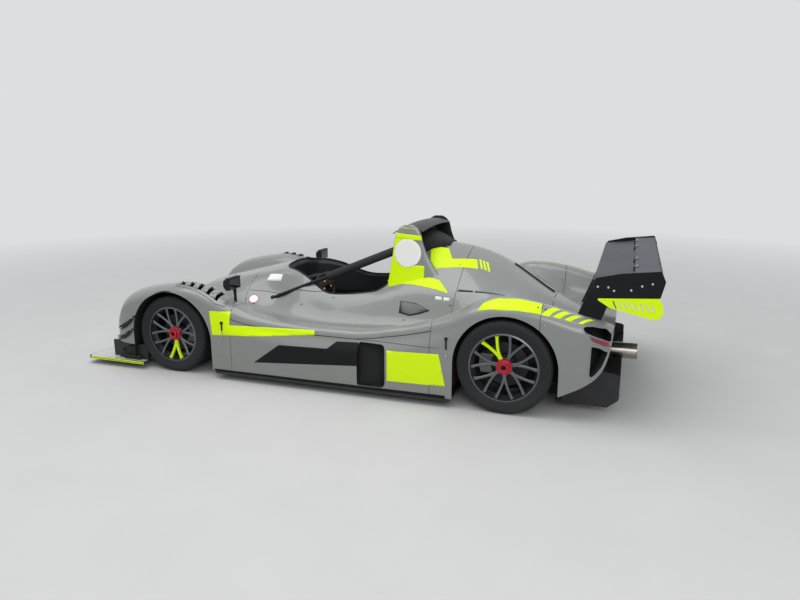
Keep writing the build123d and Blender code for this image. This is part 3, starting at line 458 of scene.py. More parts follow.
# %% Tables of the body
# place from the rear axle, z at the middle, shoulder y and z, flank y and z, channel y and z, crest z
BODY_CUTS = np.array([
    (-0.632, 0.495, 0.10, 0.495, 0.42, 0.475, 0.55, 0.48, 0.575),
    (-0.60, 0.50, 0.10, 0.50, 0.42, 0.475, 0.55, 0.485, 0.602),
    (-0.52, 0.51, 0.10, 0.51, 0.42, 0.475, 0.56, 0.49, 0.63),
    (-0.40, 0.53, 0.10, 0.527, 0.43, 0.475, 0.56, 0.495, 0.657),
    (-0.27, 0.585, 0.10, 0.58, 0.45, 0.478, 0.57, 0.52, 0.692),
    (-0.15, 0.655, 0.10, 0.65, 0.47, 0.545, 0.59, 0.60, 0.715),
    (-0.05, 0.722, 0.10, 0.712, 0.49, 0.625, 0.61, 0.665, 0.727),
    (0.05, 0.789, 0.10, 0.777, 0.50, 0.68, 0.62, 0.68, 0.727),
    (0.20, 0.876, 0.10, 0.858, 0.50, 0.697, 0.64, 0.625, 0.69),
    (0.36, 0.930, 0.10, 0.910, 0.50, 0.70, 0.65, 0.525, 0.605),
    (0.50, 0.955, 0.10, 0.935, 0.49, 0.70, 0.65, 0.475, 0.55),
    (0.66, 0.972, 0.11, 0.95, 0.48, 0.695, 0.65, 0.455, 0.50),
    (0.80, 0.930, 0.16, 0.88, 0.47, 0.675, 0.65, 0.447, 0.472),
    (0.90, 0.80, 0.33, 0.72, 0.46, 0.655, 0.65, 0.437, 0.452),
    (1.05, 0.72, 0.33, 0.68, 0.455, 0.62, 0.64, 0.425, 0.436),
    (1.30, 0.70, 0.33, 0.66, 0.45, 0.595, 0.63, 0.415, 0.436),
    (1.60, 0.775, 0.29, 0.735, 0.405, 0.625, 0.61, 0.428, 0.452),
    (1.85, 0.763, 0.27, 0.727, 0.40, 0.545, 0.58, 0.45, 0.495),
    (1.98, 0.735, 0.26, 0.702, 0.41, 0.555, 0.56, 0.465, 0.545),
    (2.10, 0.705, 0.25, 0.68, 0.42, 0.56, 0.54, 0.47, 0.60),
    (2.25, 0.668, 0.24, 0.65, 0.43, 0.55, 0.52, 0.465, 0.66),
    (2.40, 0.630, 0.22, 0.612, 0.41, 0.515, 0.51, 0.47, 0.678),
    (2.55, 0.590, 0.20, 0.575, 0.38, 0.47, 0.50, 0.448, 0.662),
    (2.72, 0.522, 0.17, 0.508, 0.35, 0.412, 0.48, 0.412, 0.632),
    (2.84, 0.462, 0.15, 0.45, 0.32, 0.345, 0.47, 0.335, 0.597),
    (2.93, 0.395, 0.14, 0.385, 0.30, 0.29, 0.46, 0.275, 0.545),
    (3.00, 0.330, 0.13, 0.32, 0.28, 0.245, 0.45, 0.23, 0.445),
    (3.05, 0.272, 0.12, 0.265, 0.26, 0.22, 0.44, 0.215, 0.345),
    (3.085, 0.225, 0.10, 0.222, 0.22, 0.205, 0.42, 0.20, 0.235),
    (3.10, 0.195, 0.10, 0.195, 0.22, 0.195, 0.42, 0.195, 0.195)])
# place from the rear axle, outline y at the rounding, rounding y and z, lower edge z, belly y
BODY_SIDES = np.array([
    (-0.632, 0.740, 0.08, 0.05, 0.530, 0.740), (-0.62, 0.775, 0.09, 0.06, 0.440, 0.775),
    (-0.58, 0.830, 0.10, 0.07, 0.325, 0.830), (-0.50, 0.868, 0.11, 0.09, 0.248, 0.868),
    (-0.40, 0.880, 0.13, 0.09, 0.190, 0.880), (-0.33, 0.880, 0.13, 0.09, 0.155, 0.880),
    (0.05, 0.880, 0.14, 0.09, 0.06, 0.880), (0.20, 0.875, 0.13, 0.08, 0.06, 0.880),
    (0.36, 0.860, 0.10, 0.07, 0.06, 0.880), (0.50, 0.845, 0.07, 0.06, 0.06, 0.880),
    (0.66, 0.835, 0.05, 0.05, 0.06, 0.880), (1.30, 0.835, 0.045, 0.045, 0.06, 0.880),
    (1.60, 0.845, 0.05, 0.05, 0.06, 0.880), (1.85, 0.862, 0.07, 0.065, 0.06, 0.880),
    (1.98, 0.870, 0.09, 0.08, 0.06, 0.880), (2.10, 0.878, 0.11, 0.08, 0.06, 0.880),
    (2.25, 0.880, 0.13, 0.08, 0.08, 0.880), (2.72, 0.880, 0.14, 0.09, 0.18, 0.880),
    (2.84, 0.872, 0.14, 0.10, 0.19, 0.872), (2.93, 0.858, 0.13, 0.10, 0.19, 0.858),
    (3.00, 0.830, 0.13, 0.09, 0.19, 0.830), (3.05, 0.785, 0.12, 0.08, 0.19, 0.785),
    (3.085, 0.720, 0.11, 0.03, 0.19, 0.720), (3.10, 0.660, 0.10, 0.003, 0.19, 0.660)])


# %% One function for every panel
def rails(table, x):
    """Every column of a table read at the places x."""
    flat = np.ravel(x)[None]
    return [smooth_through(table[:, 0], column, flat)[0] for column in table[:, 1:].T]


def body(x, v):
    """Points of the left half: v runs 0 to 1 over the top, to 2 round the outer edge, to 3 down the side."""
    x, v = np.broadcast_arrays(np.asarray(x, float), np.asarray(v, float))
    z0, y1, z1, y2, z2, y3, z3, crest = rails(BODY_CUTS, x)
    outline, round_y, round_z, foot, belly = rails(BODY_SIDES, x)
    flat = v.ravel()
    edge = outline - round_y
    y = edge * np.clip(flat, 0, 1)
    run, rise = edge - y3, crest - z3
    across = [-y1, 0 * y1, y1, y2, y3, y3 + 0.2 * run, y3 + 0.62 * run, edge, 2 * edge - y3]
    heights = [z1, z0, z1, z2, z3, z3 + 0.2 * rise, z3 + 0.9 * rise, crest, z3]
    z = smooth_through(np.stack(across, 1), np.stack(heights, 1), y[:, None])[:, 0]
    turn = np.clip(flat - 1, 0, 1) * np.pi / 2
    y = y + round_y * np.sin(turn)
    z = z - round_z * (1 - np.cos(turn))
    down = np.clip(flat - 2, 0, 1)
    z = z - (z - foot) * down
    swell = np.clip((crest - round_z - z) / 0.10, 0, 1)
    y = y + (belly - outline) * swell * swell * (3 - 2 * swell) * (down > 0)
    return np.stack([x.ravel() + REAR_X, y, z], 1).reshape(*x.shape, 3)


NOSE_TIP, TAIL_TIP, TAIL_SEAM = 3.10, -0.632, -0.213
STEP, NOSE_CLOSE, TAIL_CLOSE = 0.016, 0.10, 0.06
TOP_V = np.linspace(0, 1, 56)[:-1]
EDGE_V = np.linspace(1, 2, 11)[:-1]
SIDE_V = np.linspace(2, 3, 24)
ALL_V = np.concatenate([TOP_V, EDGE_V, SIDE_V])
PANEL, SEAM = 0.005, 0.0016


def places(low, high):
    """Even places, with closer ones at the nose and the tail that bunch up as a quarter cosine does."""
    even = np.linspace(low, high, max(2, int(round((high - low) / STEP)) + 1))
    near_tip = NOSE_TIP - NOSE_CLOSE * (1 - np.cos(np.linspace(0, np.pi / 2, 9)))[1:]
    near_tail = TAIL_TIP + TAIL_CLOSE * (1 - np.cos(np.linspace(0, np.pi / 2, 7)))[1:]
    extra = np.concatenate([near_tip, near_tail])
    return np.unique(np.round(np.concatenate([even, extra[(extra > low) & (extra < high)]]), 5))


def both_halves(points):
    """A left half grid and its mirror image as one grid, joined at the middle."""
    right = points[:, ::-1] * (1, -1, 1)
    return np.concatenate([right[:, :-1], points], 1)


def thick(piece, depth=PANEL):
    """Gives a surface its wall, inwards; a second material, where the piece has one, goes on the inside."""
    wall = piece.modifiers.new("wall", "SOLIDIFY")
    wall.thickness, wall.offset, wall.use_even_offset = depth, -1, True
    wall.material_offset = 1


def baked(piece):
    """Applies a piece's modifiers."""
    graph = bpy.context.evaluated_depsgraph_get()
    mesh = bpy.data.meshes.new_from_object(piece.evaluated_get(graph))
    piece.modifiers.clear()
    old = piece.data
    piece.data = mesh
    bpy.data.meshes.remove(old)
    piece.data.shade_smooth()
    piece.data.set_sharp_from_angle(angle=np.radians(32))


def cut_all(piece, parts):
    """Takes closed parts out of a piece."""
    points, faces = joined(parts)
    mesh = bpy.data.meshes.new("cutter")
    mesh.from_pydata(points.tolist(), [], faces)
    tool = bpy.data.objects.new("cutter", mesh)
    bpy.context.scene.collection.objects.link(tool)
    bpy.context.view_layer.update()
    step = piece.modifiers.new("cut", "BOOLEAN")
    step.operation, step.solver, step.object = "DIFFERENCE", "EXACT", tool
    baked(piece)
    bpy.data.objects.remove(tool)
    bpy.data.meshes.remove(mesh)


def prism(outline, shift):
    """A closed prism: an outline of points carried by a vector, with its faces turned outwards."""
    outline = np.asarray(outline, float)
    n = len(outline)
    out = outline[1:] - outline[0]
    if np.dot(np.cross(out[:-1], out[1:]).sum(0), shift) > 0:
        outline = outline[::-1]
    points = np.concatenate([outline, outline + np.asarray(shift, float)])
    faces = [list(range(n)), list(range(2 * n - 1, n - 1, -1))]
    faces += [[(i + 1) % n, i, n + i, n + (i + 1) % n] for i in range(n)]
    return points, faces


def mirrored(part):
    """A part on the other side of the car."""
    points, faces = part
    return np.asarray(points) * (1, -1, 1), [list(reversed(face)) for face in faces]


def both(parts):
    """Parts of the left side with their mirror images."""
    return parts + [mirrored(part) for part in parts]


# %% The five panels
def smooth_step(t):
    """3 t squared less 2 t cubed, held between 0 and 1."""
    t = np.clip(t, 0, 1)
    return t * t * (3 - 2 * t)


def front_seam(v):
    """The line behind the nose: across the bonnet, and a little further back on the fender."""
    return 2.10 - 0.13 * smooth_step((v - 0.55) / 0.35)


def rear_seam(v):
    """The line behind the cockpit: it runs a little forward towards the sill."""
    return 0.40 + 0.08 * smooth_step((v - 0.6) / 0.6)


def panel(name, low, high, v, whole=True):
    """A panel between two places or seams over values of v, in one sheet across the car or one each side."""
    ends = [end(v) if callable(end) else np.full(len(v), end) for end in (low, high)]
    base = places(float(np.min(ends[0])), float(np.max(ends[1])))
    t = (base - base[0]) / (base[-1] - base[0])
    x = ends[0] + t[:, None] * (ends[1] - ends[0])
    points = body(x, np.broadcast_to(v, x.shape))
    if whole:
        points = both_halves(points)
    faces = grid_faces(*points.shape[:2])
    points = points.reshape(-1, 3)
    if not whole:
        points, faces = with_mirror(points, faces)
    piece = new_piece(name, points, faces, [PAINT, DEEP_BLACK])
    thick(piece)
    baked(piece)
    return piece


UPPER_V = np.concatenate([TOP_V, EDGE_V, [2.0]])
POD_V = np.concatenate([[2.012], SIDE_V[1:]])


def behind_nose(v):
    """The front edge of the panels behind the nose."""
    return front_seam(v) - SEAM


def before_cover(v):
    """The rear edge of the panels before the engine cover."""
    return rear_seam(v) + SEAM


front_shell = panel("front_shell", lambda v: front_seam(v) + SEAM, NOSE_TIP, ALL_V)
upper_shell = panel("upper_shell", before_cover, behind_nose, UPPER_V)
pod_shell = panel("pod_shell", before_cover, behind_nose, POD_V, whole=False)
cover_shell = panel("cover_shell", TAIL_SEAM + SEAM, lambda v: rear_seam(v) - SEAM, ALL_V)
tail_shell = panel("tail_shell", TAIL_TIP, TAIL_SEAM - SEAM, ALL_V)
for shell, node in ((front_shell, "front_clamshell"), (upper_shell, "cockpit_surround"),
                    (pod_shell, "sidepods"), (cover_shell, "engine_cover"), (tail_shell, "rear_clamshell")):
    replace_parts(shell, node)
    report(shell.name)

# %% [markdown]
# ## Reading the body's surface
# Films, vents and wheel liners have to lie on the body. So a few small functions turn a place in the plan or
# in the side view into the two numbers of the body function, and lift points off the surface along its
# normal.

# %% Places on the body
HALVINGS = 24


def v_on_top(x, y):
    """The value of v above a place in plan: over the top, then round the outer edge by its arcsine."""
    outline, round_y = (column.reshape(np.shape(x)) for column in rails(BODY_SIDES, x)[:2])
    edge = outline - round_y
    over = np.arcsin(np.clip((y - edge) / round_y, 0, 1)) / (np.pi / 2)
    return np.where(y < edge, y / edge, 1 + over)


def v_at_height(x, z, start, end):
    """The value of v from start to end at which the surface has this height, found by halving the range."""
    low, high = np.full(np.shape(x), start), np.full(np.shape(x), end)
    for _ in range(HALVINGS):
        middle = (low + high) / 2
        above = body(x, middle)[..., 2] > z
        low, high = np.where(above, middle, low), np.where(above, high, middle)
    return (low + high) / 2


def lifted(x, v, height):
    """Body points moved out along the normal: the step along the car crossed with the step round it."""
    along = body(x + 1e-3, v) - body(x - 1e-3, v)
    across = body(x, np.clip(v + 2e-3, 0, 3)) - body(x, np.clip(v - 2e-3, 0, 3))
    normal = np.cross(along, across)
    normal /= np.linalg.norm(normal, axis=-1, keepdims=True)
    return body(x, v) + np.reshape(height, (-1, 1)) * normal


def over_top(a, b, height):
    """Places in plan, lifted off the top and the round edge."""
    return lifted(a, v_on_top(a, b), height)


def over_side(a, b, height):
    """Places in the side view, lifted off the body's side."""
    return lifted(a, v_at_height(a, b, 1.0, 3.0), height)


def over_flank(a, b, height):
    """Places in the side view, lifted off the flank between the spine and the channel."""
    return lifted(a, v_at_height(a, b, 0.42, 0.86), height)


# %% Outlines, bars and closed parts
def rounded(rows, steps=7):
    """An outline with round corners; rows are two coordinates and a radius. Each corner is swept from side to
    side about its centre, which lies on the line that halves the corner."""
    rows = np.asarray(rows, float)
    corner, radius = rows[:, :2], rows[:, 2:]
    a, b = np.roll(corner, 1, 0) - corner, np.roll(corner, -1, 0) - corner
    a, b = (side / np.linalg.norm(side, axis=1, keepdims=True) for side in (a, b))
    half = np.arccos(np.clip((a * b).sum(1, keepdims=True), -0.9999, 0.9999)) / 2
    middle = a + b
    inward = middle / (np.linalg.norm(middle, axis=1, keepdims=True) + 1e-9)
    centre = corner + inward * radius / np.sin(half)
    start, end = corner + a * radius / np.tan(half) - centre, corner + b * radius / np.tan(half) - centre
    sweep, t = (np.pi - 2 * half)[:, None], np.linspace(0, 1, steps)[None, :, None]
    share = np.sin((1 - t) * sweep) * start[:, None] + np.sin(t * sweep) * end[:, None]
    points = centre[:, None] + share / np.sin(sweep)
    keep = [points[i] if radius[i, 0] > 0 else corner[i:i + 1] for i in range(len(rows))]
    return np.concatenate(keep)


def tube(path, radius, sides=16, up=(0, 0, 1), flat=1.0, closed=False):
    """A bar along a path: each ring is its path point plus the radius along two directions across it."""
    path = np.asarray(path, float)
    ahead = np.roll(path, -1, 0) - np.roll(path, 1, 0) if closed else np.gradient(path, axis=0)
    side = np.cross(ahead, up)
    top = np.cross(side, ahead)
    side, top = (d / np.linalg.norm(d, axis=1, keepdims=True) for d in (side, top))
    turn = np.linspace(0, 2 * np.pi, sides, endpoint=False)[None, :, None]
    reach = np.broadcast_to(radius, len(path))[:, None, None]
    rings = path[:, None] + reach * (np.cos(turn) * side[:, None] + flat * np.sin(turn) * top[:, None])
    faces = grid_faces(len(path), sides, around=True, along=closed).tolist()
    if not closed:
        faces += [list(range(sides)), list(range((len(path) - 1) * sides, len(path) * sides))]
    return rings.reshape(-1, 3), faces


def turned(profile, x, z, steps=96):
    """A closed section of y and radius carried round the axle at x, z."""
    y, radius = np.asarray(profile, float).T
    turn = np.linspace(0, 2 * np.pi, steps, endpoint=False)[:, None]
    across = np.broadcast_to(y, (steps, len(y)))
    points = np.stack([x + radius * np.cos(turn), across, z + radius * np.sin(turn)], -1)
    return points.reshape(-1, 3), grid_faces(steps, len(y), around=True, along=True).tolist()


def lofted(sections):
    """Closed sections joined one to the next, with both ends shut."""
    rows, columns = sections.shape[:2]
    faces = grid_faces(rows, columns, around=True).tolist()
    faces += [list(range(columns)), list(range((rows - 1) * columns, rows * columns))]
    return sections.reshape(-1, 3), faces


def brick(x, y, z, corner=0.0):
    """A block between two x, two y and two z, with its corners rounded in the side view."""
    rows = [(x[0], z[0], corner), (x[1], z[0], corner), (x[1], z[1], corner), (x[0], z[1], corner)]
    return prism(side_outline(rounded(rows, 5), y[0]), (0, y[1] - y[0], 0))


def solid(name, parts, material, smooth=30, bevel=0.0, marks=None):
    """One piece from closed parts with their faces turned outwards; marks give each part's material."""
    points, faces = joined(parts)
    mesh = bpy.data.meshes.new(name)
    mesh.from_pydata(points.tolist(), [], faces)
    if marks is not None:
        mesh.polygons.foreach_set("material_index", np.repeat(marks, [len(f) for p, f in parts]))
    shape = bmesh.new()
    shape.from_mesh(mesh)
    bmesh.ops.remove_doubles(shape, verts=shape.verts, dist=1e-7)
    bmesh.ops.recalc_face_normals(shape, faces=shape.faces)
    shape.to_mesh(mesh)
    shape.free()
    piece = add_mesh(name, mesh, material, smooth)
    if bevel:
        edge = piece.modifiers.new("edge", "BEVEL")
        edge.width, edge.segments, edge.limit_method = bevel, 2, "ANGLE"
        edge.harden_normals = True
    return piece


# %% Films
FILM, FILM_DEEP, CELL = 0.0010, 0.0012, 0.012


def film(name, outlines, material, place, height=FILM, depth=FILM_DEEP, two_sides=True):
    """Thin films: a flat outline is cut into small cells, and place carries each point onto its surface."""
    points, faces, start = [], [], 0
    for outline in outlines:
        flat = bmesh.new()
        flat.faces.new([flat.verts.new((a, b, 0)) for a, b in outline])
        low, high = np.min(outline, 0), np.max(outline, 0)
        for axis in (0, 1):
            for at in np.arange(low[axis] + CELL / 2, high[axis], CELL):
                point, way = [0, 0, 0], [0, 0, 0]
                point[axis], way[axis] = at, 1
                bmesh.ops.bisect_plane(flat, geom=flat.verts[:] + flat.edges[:] + flat.faces[:],
                                       plane_co=point, plane_no=way)
        flat.verts.index_update()
        ab = np.array([vertex.co[:2] for vertex in flat.verts])
        points.append(place(ab[:, 0], ab[:, 1], height))
        faces += [[vertex.index + start for vertex in face.verts] for face in flat.faces]
        start += len(ab)
        flat.free()
    points = np.concatenate(points)
    corner = points[[face[:3] for face in faces]]
    outward = np.cross(corner[:, 1] - corner[:, 0], corner[:, 2] - corner[:, 0])
    wrong = outward[:, 1] + outward[:, 2] < 0
    faces = [face[::-1] if bad else face for face, bad in zip(faces, wrong)]
    if two_sides:
        points, faces = with_mirror(points, faces)
    piece = new_piece(name, points, faces, material, smooth=60)
    thick(piece, depth)
    return piece


# %% [markdown]
# ## Openings in the panels
# Wheel arches, cockpit, side ducts, scoops, louvres, vents and the tail's openings are cut out of the panels
# with plain closed tools, as a trimmer cuts a moulded panel with a template. Each tool is a prism.

# %% Cutting tools
def arc(x, z, radius, start, end, count):
    """Points x, z on an arc, in degrees from the nose direction."""
    t = np.radians(np.linspace(start, end, count))
    return np.stack([x + radius * np.cos(t), z + radius * np.sin(t)], 1)


def side_outline(xz, y):
    """A side view outline, from the rear axle, placed at y."""
    xz = np.asarray(xz, float)
    return np.stack([xz[:, 0] + REAR_X, np.full(len(xz), y), xz[:, 1]], 1)


FRONT_ARCH = (FRONT_X - REAR_X - 0.015, FRONT_R - 0.020, 0.350)
REAR_ARCH = (-0.004, REAR_R, 0.332)
ARCH_IN_Y = 0.70


def arch_outline(x, z, radius):
    """A half circle over the wheel, carried straight down to just below the ground."""
    return np.concatenate([arc(x, z, radius, 0, 180, 49), [(x - radius, -0.02), (x + radius, -0.02)]])


# %% Places and outlines of the openings
def plan_outline(xy, z):
    """A plan outline, from the rear axle, placed at a height."""
    xy = np.asarray(xy, float)
    return np.stack([xy[:, 0] + REAR_X, xy[:, 1], np.full(len(xy), z)], 1)


def symmetric(rows):
    """Rows of x, y and radius on the left, with the same rows on the right in the opposite order."""
    return rows + [(x, -y, r) for x, y, r in reversed(rows)]


# x from the rear axle, y, corner radius
COCKPIT_OUTLINE = rounded(symmetric([(1.860, 0.225, 0.13), (1.400, 0.445, 0.25), (0.945, 0.432, 0.09)]), 14)
DUCT = rounded([(0.985, 0.085, 0.01), (0.985, 0.372, 0.02), (0.790, 0.372, 0.03), (0.790, 0.085, 0.03)])
SCOOP_TOP = [(0.570, 0.560), (0.680, 0.598), (0.800, 0.603)]
SCOOP_LOW = [(0.570, 0.560), (0.640, 0.533), (0.715, 0.514), (0.796, 0.527)]
SCOOP = rounded([(0.796, 0.527, 0.008), (0.800, 0.603, 0.010), (0.680, 0.598, 0.06), (0.570, 0.560, 0.012),
                 (0.640, 0.533, 0.05), (0.715, 0.514, 0.04)])
UPPER_TAIL = rounded([(-0.452, 0.607, 0.012), (-0.515, 0.607, 0.02), (-0.592, 0.590, 0.02),
                      (-0.6225, 0.552, 0.012), (-0.6245, 0.500, 0.008), (-0.577, 0.529, 0.03),
                      (-0.475, 0.571, 0.015)])
LOWER_TAIL = rounded([(-0.513, 0.496, 0.008), (-0.564, 0.480, 0.02), (-0.611, 0.446, 0.010),
                      (-0.598, 0.404, 0.02), (-0.580, 0.356, 0.02), (-0.550, 0.316, 0.02),
                      (-0.509, 0.276, 0.015)])
TAIL_LAMP = [(-0.502, 0.551), (-0.514, 0.529), (-0.590, 0.489), (-0.620, 0.478), (-0.607, 0.509)]
LOUVRES, LOUVRE_X, LOUVRE_PITCH, LOUVRE_LENGTH, LOUVRE_SLANT = 5, 2.088, 0.074, 0.028, 0.014
LOUVRE_OUT, LOUVRE_IN = (0.840, -0.008), (0.712, 0.013)
DECK_VENTS, VENT_IN, VENT_OUT = [(0.289, 0.392), (0.068, 0.276)], 0.494, 0.508


def louvre_corners(k):
    """Plan corners of a slot: rear and front edge at the outer end, then at the inner end."""
    x = LOUVRE_X + k * LOUVRE_PITCH
    y_out, y_in = (start + k * change for start, change in (LOUVRE_OUT, LOUVRE_IN))
    return [(x, y_out), (x + LOUVRE_LENGTH, y_out), (x + LOUVRE_LENGTH + LOUVRE_SLANT, y_in),
            (x + LOUVRE_SLANT, y_in)]


def vent_corners(rear, front):
    """Plan corners of a straight slot in the deck."""
    return [(rear, VENT_IN), (front, VENT_IN), (front, VENT_OUT), (rear, VENT_OUT)]


# %% Cutting the openings
def side_tool(outline, y, depth):
    """A side view outline carried from y outwards."""
    return prism(side_outline(outline, y), (0, depth, 0))


def plan_tool(outline, z, height):
    """A plan outline carried upwards from z."""
    return prism(plan_outline(outline, z), (0, 0, height))


for shell, arch in ((front_shell, FRONT_ARCH), (cover_shell, REAR_ARCH), (tail_shell, REAR_ARCH),
                    (pod_shell, REAR_ARCH)):
    cut_all(shell, both([side_tool(arch_outline(*arch), ARCH_IN_Y, 0.6)]))
cut_all(front_shell, both([plan_tool(louvre_corners(k), 0.50, 0.4) for k in range(LOUVRES)]))
cut_all(upper_shell, [plan_tool(COCKPIT_OUTLINE, 0.48, 0.5)])
cut_all(upper_shell, both([side_tool(SCOOP, 0.50, 0.16)]))
cut_all(pod_shell, both([side_tool(DUCT, 0.80, 0.2)]))
cut_all(cover_shell, both([plan_tool(vent_corners(*ends), 0.64, 0.2) for ends in DECK_VENTS]))
cut_all(tail_shell, both([side_tool(outline, 0.70, 0.3) for outline in (UPPER_TAIL, LOWER_TAIL)]))
report("front_shell", "upper_shell", "pod_shell", "cover_shell", "tail_shell")

# %% [markdown]
# ## Wheelhouses, pockets and lips
# Behind each arch sits a black liner. It is the arch's own outline carried inwards, but it may not rise
# through the skin, so its height is held a little under the body's surface. The side ducts and the tail's
# openings get a black recess and a rounded lip. The scoops get a floor of body paint that falls away, and a
# thick bead along the lower edge whose black colour is painted shadow for the dark gap under the lip.
# The louvres get the raised flaps that pull the air out.

# %% Wheelhouse liners
LINER_OUT_Y, LINER_RIM_Y, LINER_CLEAR, LINER_UNDER = 0.868, 0.85, 0.004, 0.009


def liner(arch, y_in, low):
    """The arch outline, a little wider, carried outwards from y_in, and held just under the skin."""
    x, z, radius = arch
    radius += LINER_CLEAR
    edge = np.concatenate([[(x + radius, low)], arc(x, z, radius, 0, 180, 41), [(x - radius, low)]])
    px, py = np.broadcast_arrays(edge[:, :1], np.linspace(y_in, LINER_OUT_Y, 15)[None])
    skin = over_top(px.ravel(), py.ravel(), 0)[:, 2].reshape(px.shape) - LINER_UNDER
    pz = np.where(py < LINER_RIM_Y, np.minimum(edge[:, 1:], skin), edge[:, 1:])
    return np.stack([px + REAR_X, py, pz], -1)


def liner_piece(name, arch, y_in, low, window):
    """A liner on both sides with its inner wall, which has a window for the suspension arms."""
    grid = liner(arch, y_in, low)
    rows, columns = grid.shape[:2]
    faces = grid_faces(rows, columns).tolist()
    x0, x1, z0, z1 = window
    frame_points = side_outline([(x1, z0), (x1, z1), (x0, z1), (x0, z0)], y_in)
    points = np.concatenate([grid.reshape(-1, 3), frame_points])
    near = np.argmin(np.linalg.norm(grid[:, :1] - frame_points[None, 1:3], axis=2), 0)
    inner = [i * columns for i in range(rows)]
    a, b, c, d = (rows * columns + i for i in range(4))
    faces += [inner[:near[0] + 1] + [b, a], inner[near[0]:near[1] + 1] + [c, b], inner[near[1]:] + [d, c]]
    thick(new_piece(name, *with_mirror(points, faces), DEEP_BLACK), 0.003)


liner_piece("front_liners", FRONT_ARCH, 0.495, 0.085, (2.300, 2.700, 0.12, 0.44))
liner_piece("rear_liners", REAR_ARCH, 0.560, 0.130, (-0.230, 0.200, 0.15, 0.46))
report("front_liners", "rear_liners")

# %% Pockets behind the openings
POCKET_WIDER, POCKET_UNDER = 1 + 0.004 / 0.06, 0.0035


def pocket(name, outline, shift, squeeze=1.0):
    """A recess: the opening's outline just under the skin, carried inwards by shift and shut at the back. The
    back may be squeezed along the car towards the outline's rear edge."""
    a, b = np.asarray(outline, float).T
    middle = np.array([a.mean(), b.mean()])[:, None]
    wide_a, wide_b = middle + (np.stack([a, b]) - middle) * POCKET_WIDER
    front = over_side(wide_a, wide_b, -POCKET_UNDER)
    back = front + shift
    back[:, 0] = back[:, 0].min() + (back[:, 0] - back[:, 0].min()) * squeeze
    count = len(a)
    faces = grid_faces(2, count, around=True).tolist() + [list(range(count, 2 * count))]
    thick(new_piece(name, *with_mirror(np.concatenate([front, back]), faces), DEEP_BLACK), 0.002)


pocket("duct_pockets", DUCT, (0, -0.082, 0), squeeze=0.12)
pocket("tail_upper_pockets", UPPER_TAIL, (0.05, -0.09, 0))
pocket("tail_lower_pockets", LOWER_TAIL, (0.05, -0.10, 0))
FLOOR_UNDER, FLOOR_FALL = 0.008, 0.030


def scoop_floor(a, b, height):
    """The scoop's floor: height under the skin along its upper edge, and deepest along its lower edge."""
    top, low = (np.interp(a, *np.array(line).T) for line in (SCOOP_TOP, SCOOP_LOW))
    return over_flank(a, b, height - FLOOR_FALL * smooth_step((top - b) / (top - low + 0.004)))


scoop_middle = SCOOP.mean(0)
wide_scoop = scoop_middle + (SCOOP - scoop_middle) * 1.06
film("scoop_floors", [wide_scoop], PAINT, scoop_floor, height=-FLOOR_UNDER, depth=0.002)
report("duct_pockets", "tail_upper_pockets", "tail_lower_pockets", "scoop_floors")


# %% Lips round the openings
def resampled(outline, step):
    """The same closed outline with points at even steps."""
    outline = np.asarray(outline, float)
    ring = np.concatenate([outline, outline[:1]])
    run = np.concatenate([[0], np.cumsum(np.linalg.norm(np.diff(ring, axis=0), axis=1))])
    at = np.linspace(0, run[-1], max(12, int(run[-1] / step)), endpoint=False)
    return np.stack([np.interp(at, run, column) for column in ring.T], 1)


def lip(name, outline, radius, material, height=0.0):
    """A rounded bead laid along an outline on the body's side."""
    path = over_side(*outline.T, height)
    return solid(name, both([tube(path, radius, 8, up=(0.13, 1.0, 0.31), closed=True)]), material, smooth=60)


# Each scoop's lower lip is a thick bead in inner black. The lip stands out from the panel, and its black
# colour is painted shadow for the dark gap under the lip.
shadow_lip_x = np.linspace(0.576, 0.794, 24)
shadow_lip_z = np.interp(shadow_lip_x, *np.array(SCOOP_LOW).T) + 0.004
solid("scoop_shadow_lips", both([tube(over_flank(shadow_lip_x, shadow_lip_z, -0.0015), 0.0065, 10)]), DEEP_BLACK, smooth=60)
lip("duct_lips", resampled(DUCT, 0.012), 0.0030, BLACK_FILM)
for name, outline in (("tail_upper_lips", UPPER_TAIL), ("tail_lower_lips", LOWER_TAIL)):
    lip(name, resampled(outline, 0.010), 0.0036, PAINT, height=0.001)
lamps = film("tail_lamp_strips", [TAIL_LAMP], LAMP_RED, over_side, height=0.004, depth=0.006)
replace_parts(lamps, "tail_lamps")
report("scoop_shadow_lips", "duct_lips", "tail_upper_lips", "tail_lower_lips", "tail_lamp_strips")

# %% Cockpit rim
rim_line = resampled(COCKPIT_OUTLINE, 0.018)
LINING_FOOT, LINING_ROWS = 0.432, 8


def round_cockpit(a, b, height):
    """Places in plan on both sides of the car, lifted off the top."""
    points = over_top(a, np.abs(b), height)
    points[:, 1] *= np.where(b < 0, -1, 1)
    return points


rim_path = round_cockpit(*rim_line.T, -0.001)
rim_bead = tube(rim_path, 0.0065, 10, up=(0.02, 0.01, 1), closed=True)
solid("cockpit_rim", [rim_bead], SATIN_BLACK, smooth=60)
inner = rim_path - (0, 0, 0.004)
drop = np.linspace(0, 1, LINING_ROWS)[:, None]
wall = np.repeat(inner[None], LINING_ROWS, 0)
wall[..., 2] = inner[:, 2] * (1 - drop) + LINING_FOOT * drop
lining_faces = grid_faces(LINING_ROWS, len(inner), around=True)
thick(new_piece("cockpit_lining", wall, lining_faces, CARBON, smooth=60), 0.003)
report("cockpit_rim", "cockpit_lining")

# %% Louvre flaps
FLAP_RISE, FLAP_LAP, FLAP_BACK = 0.015, 0.006, 0.008


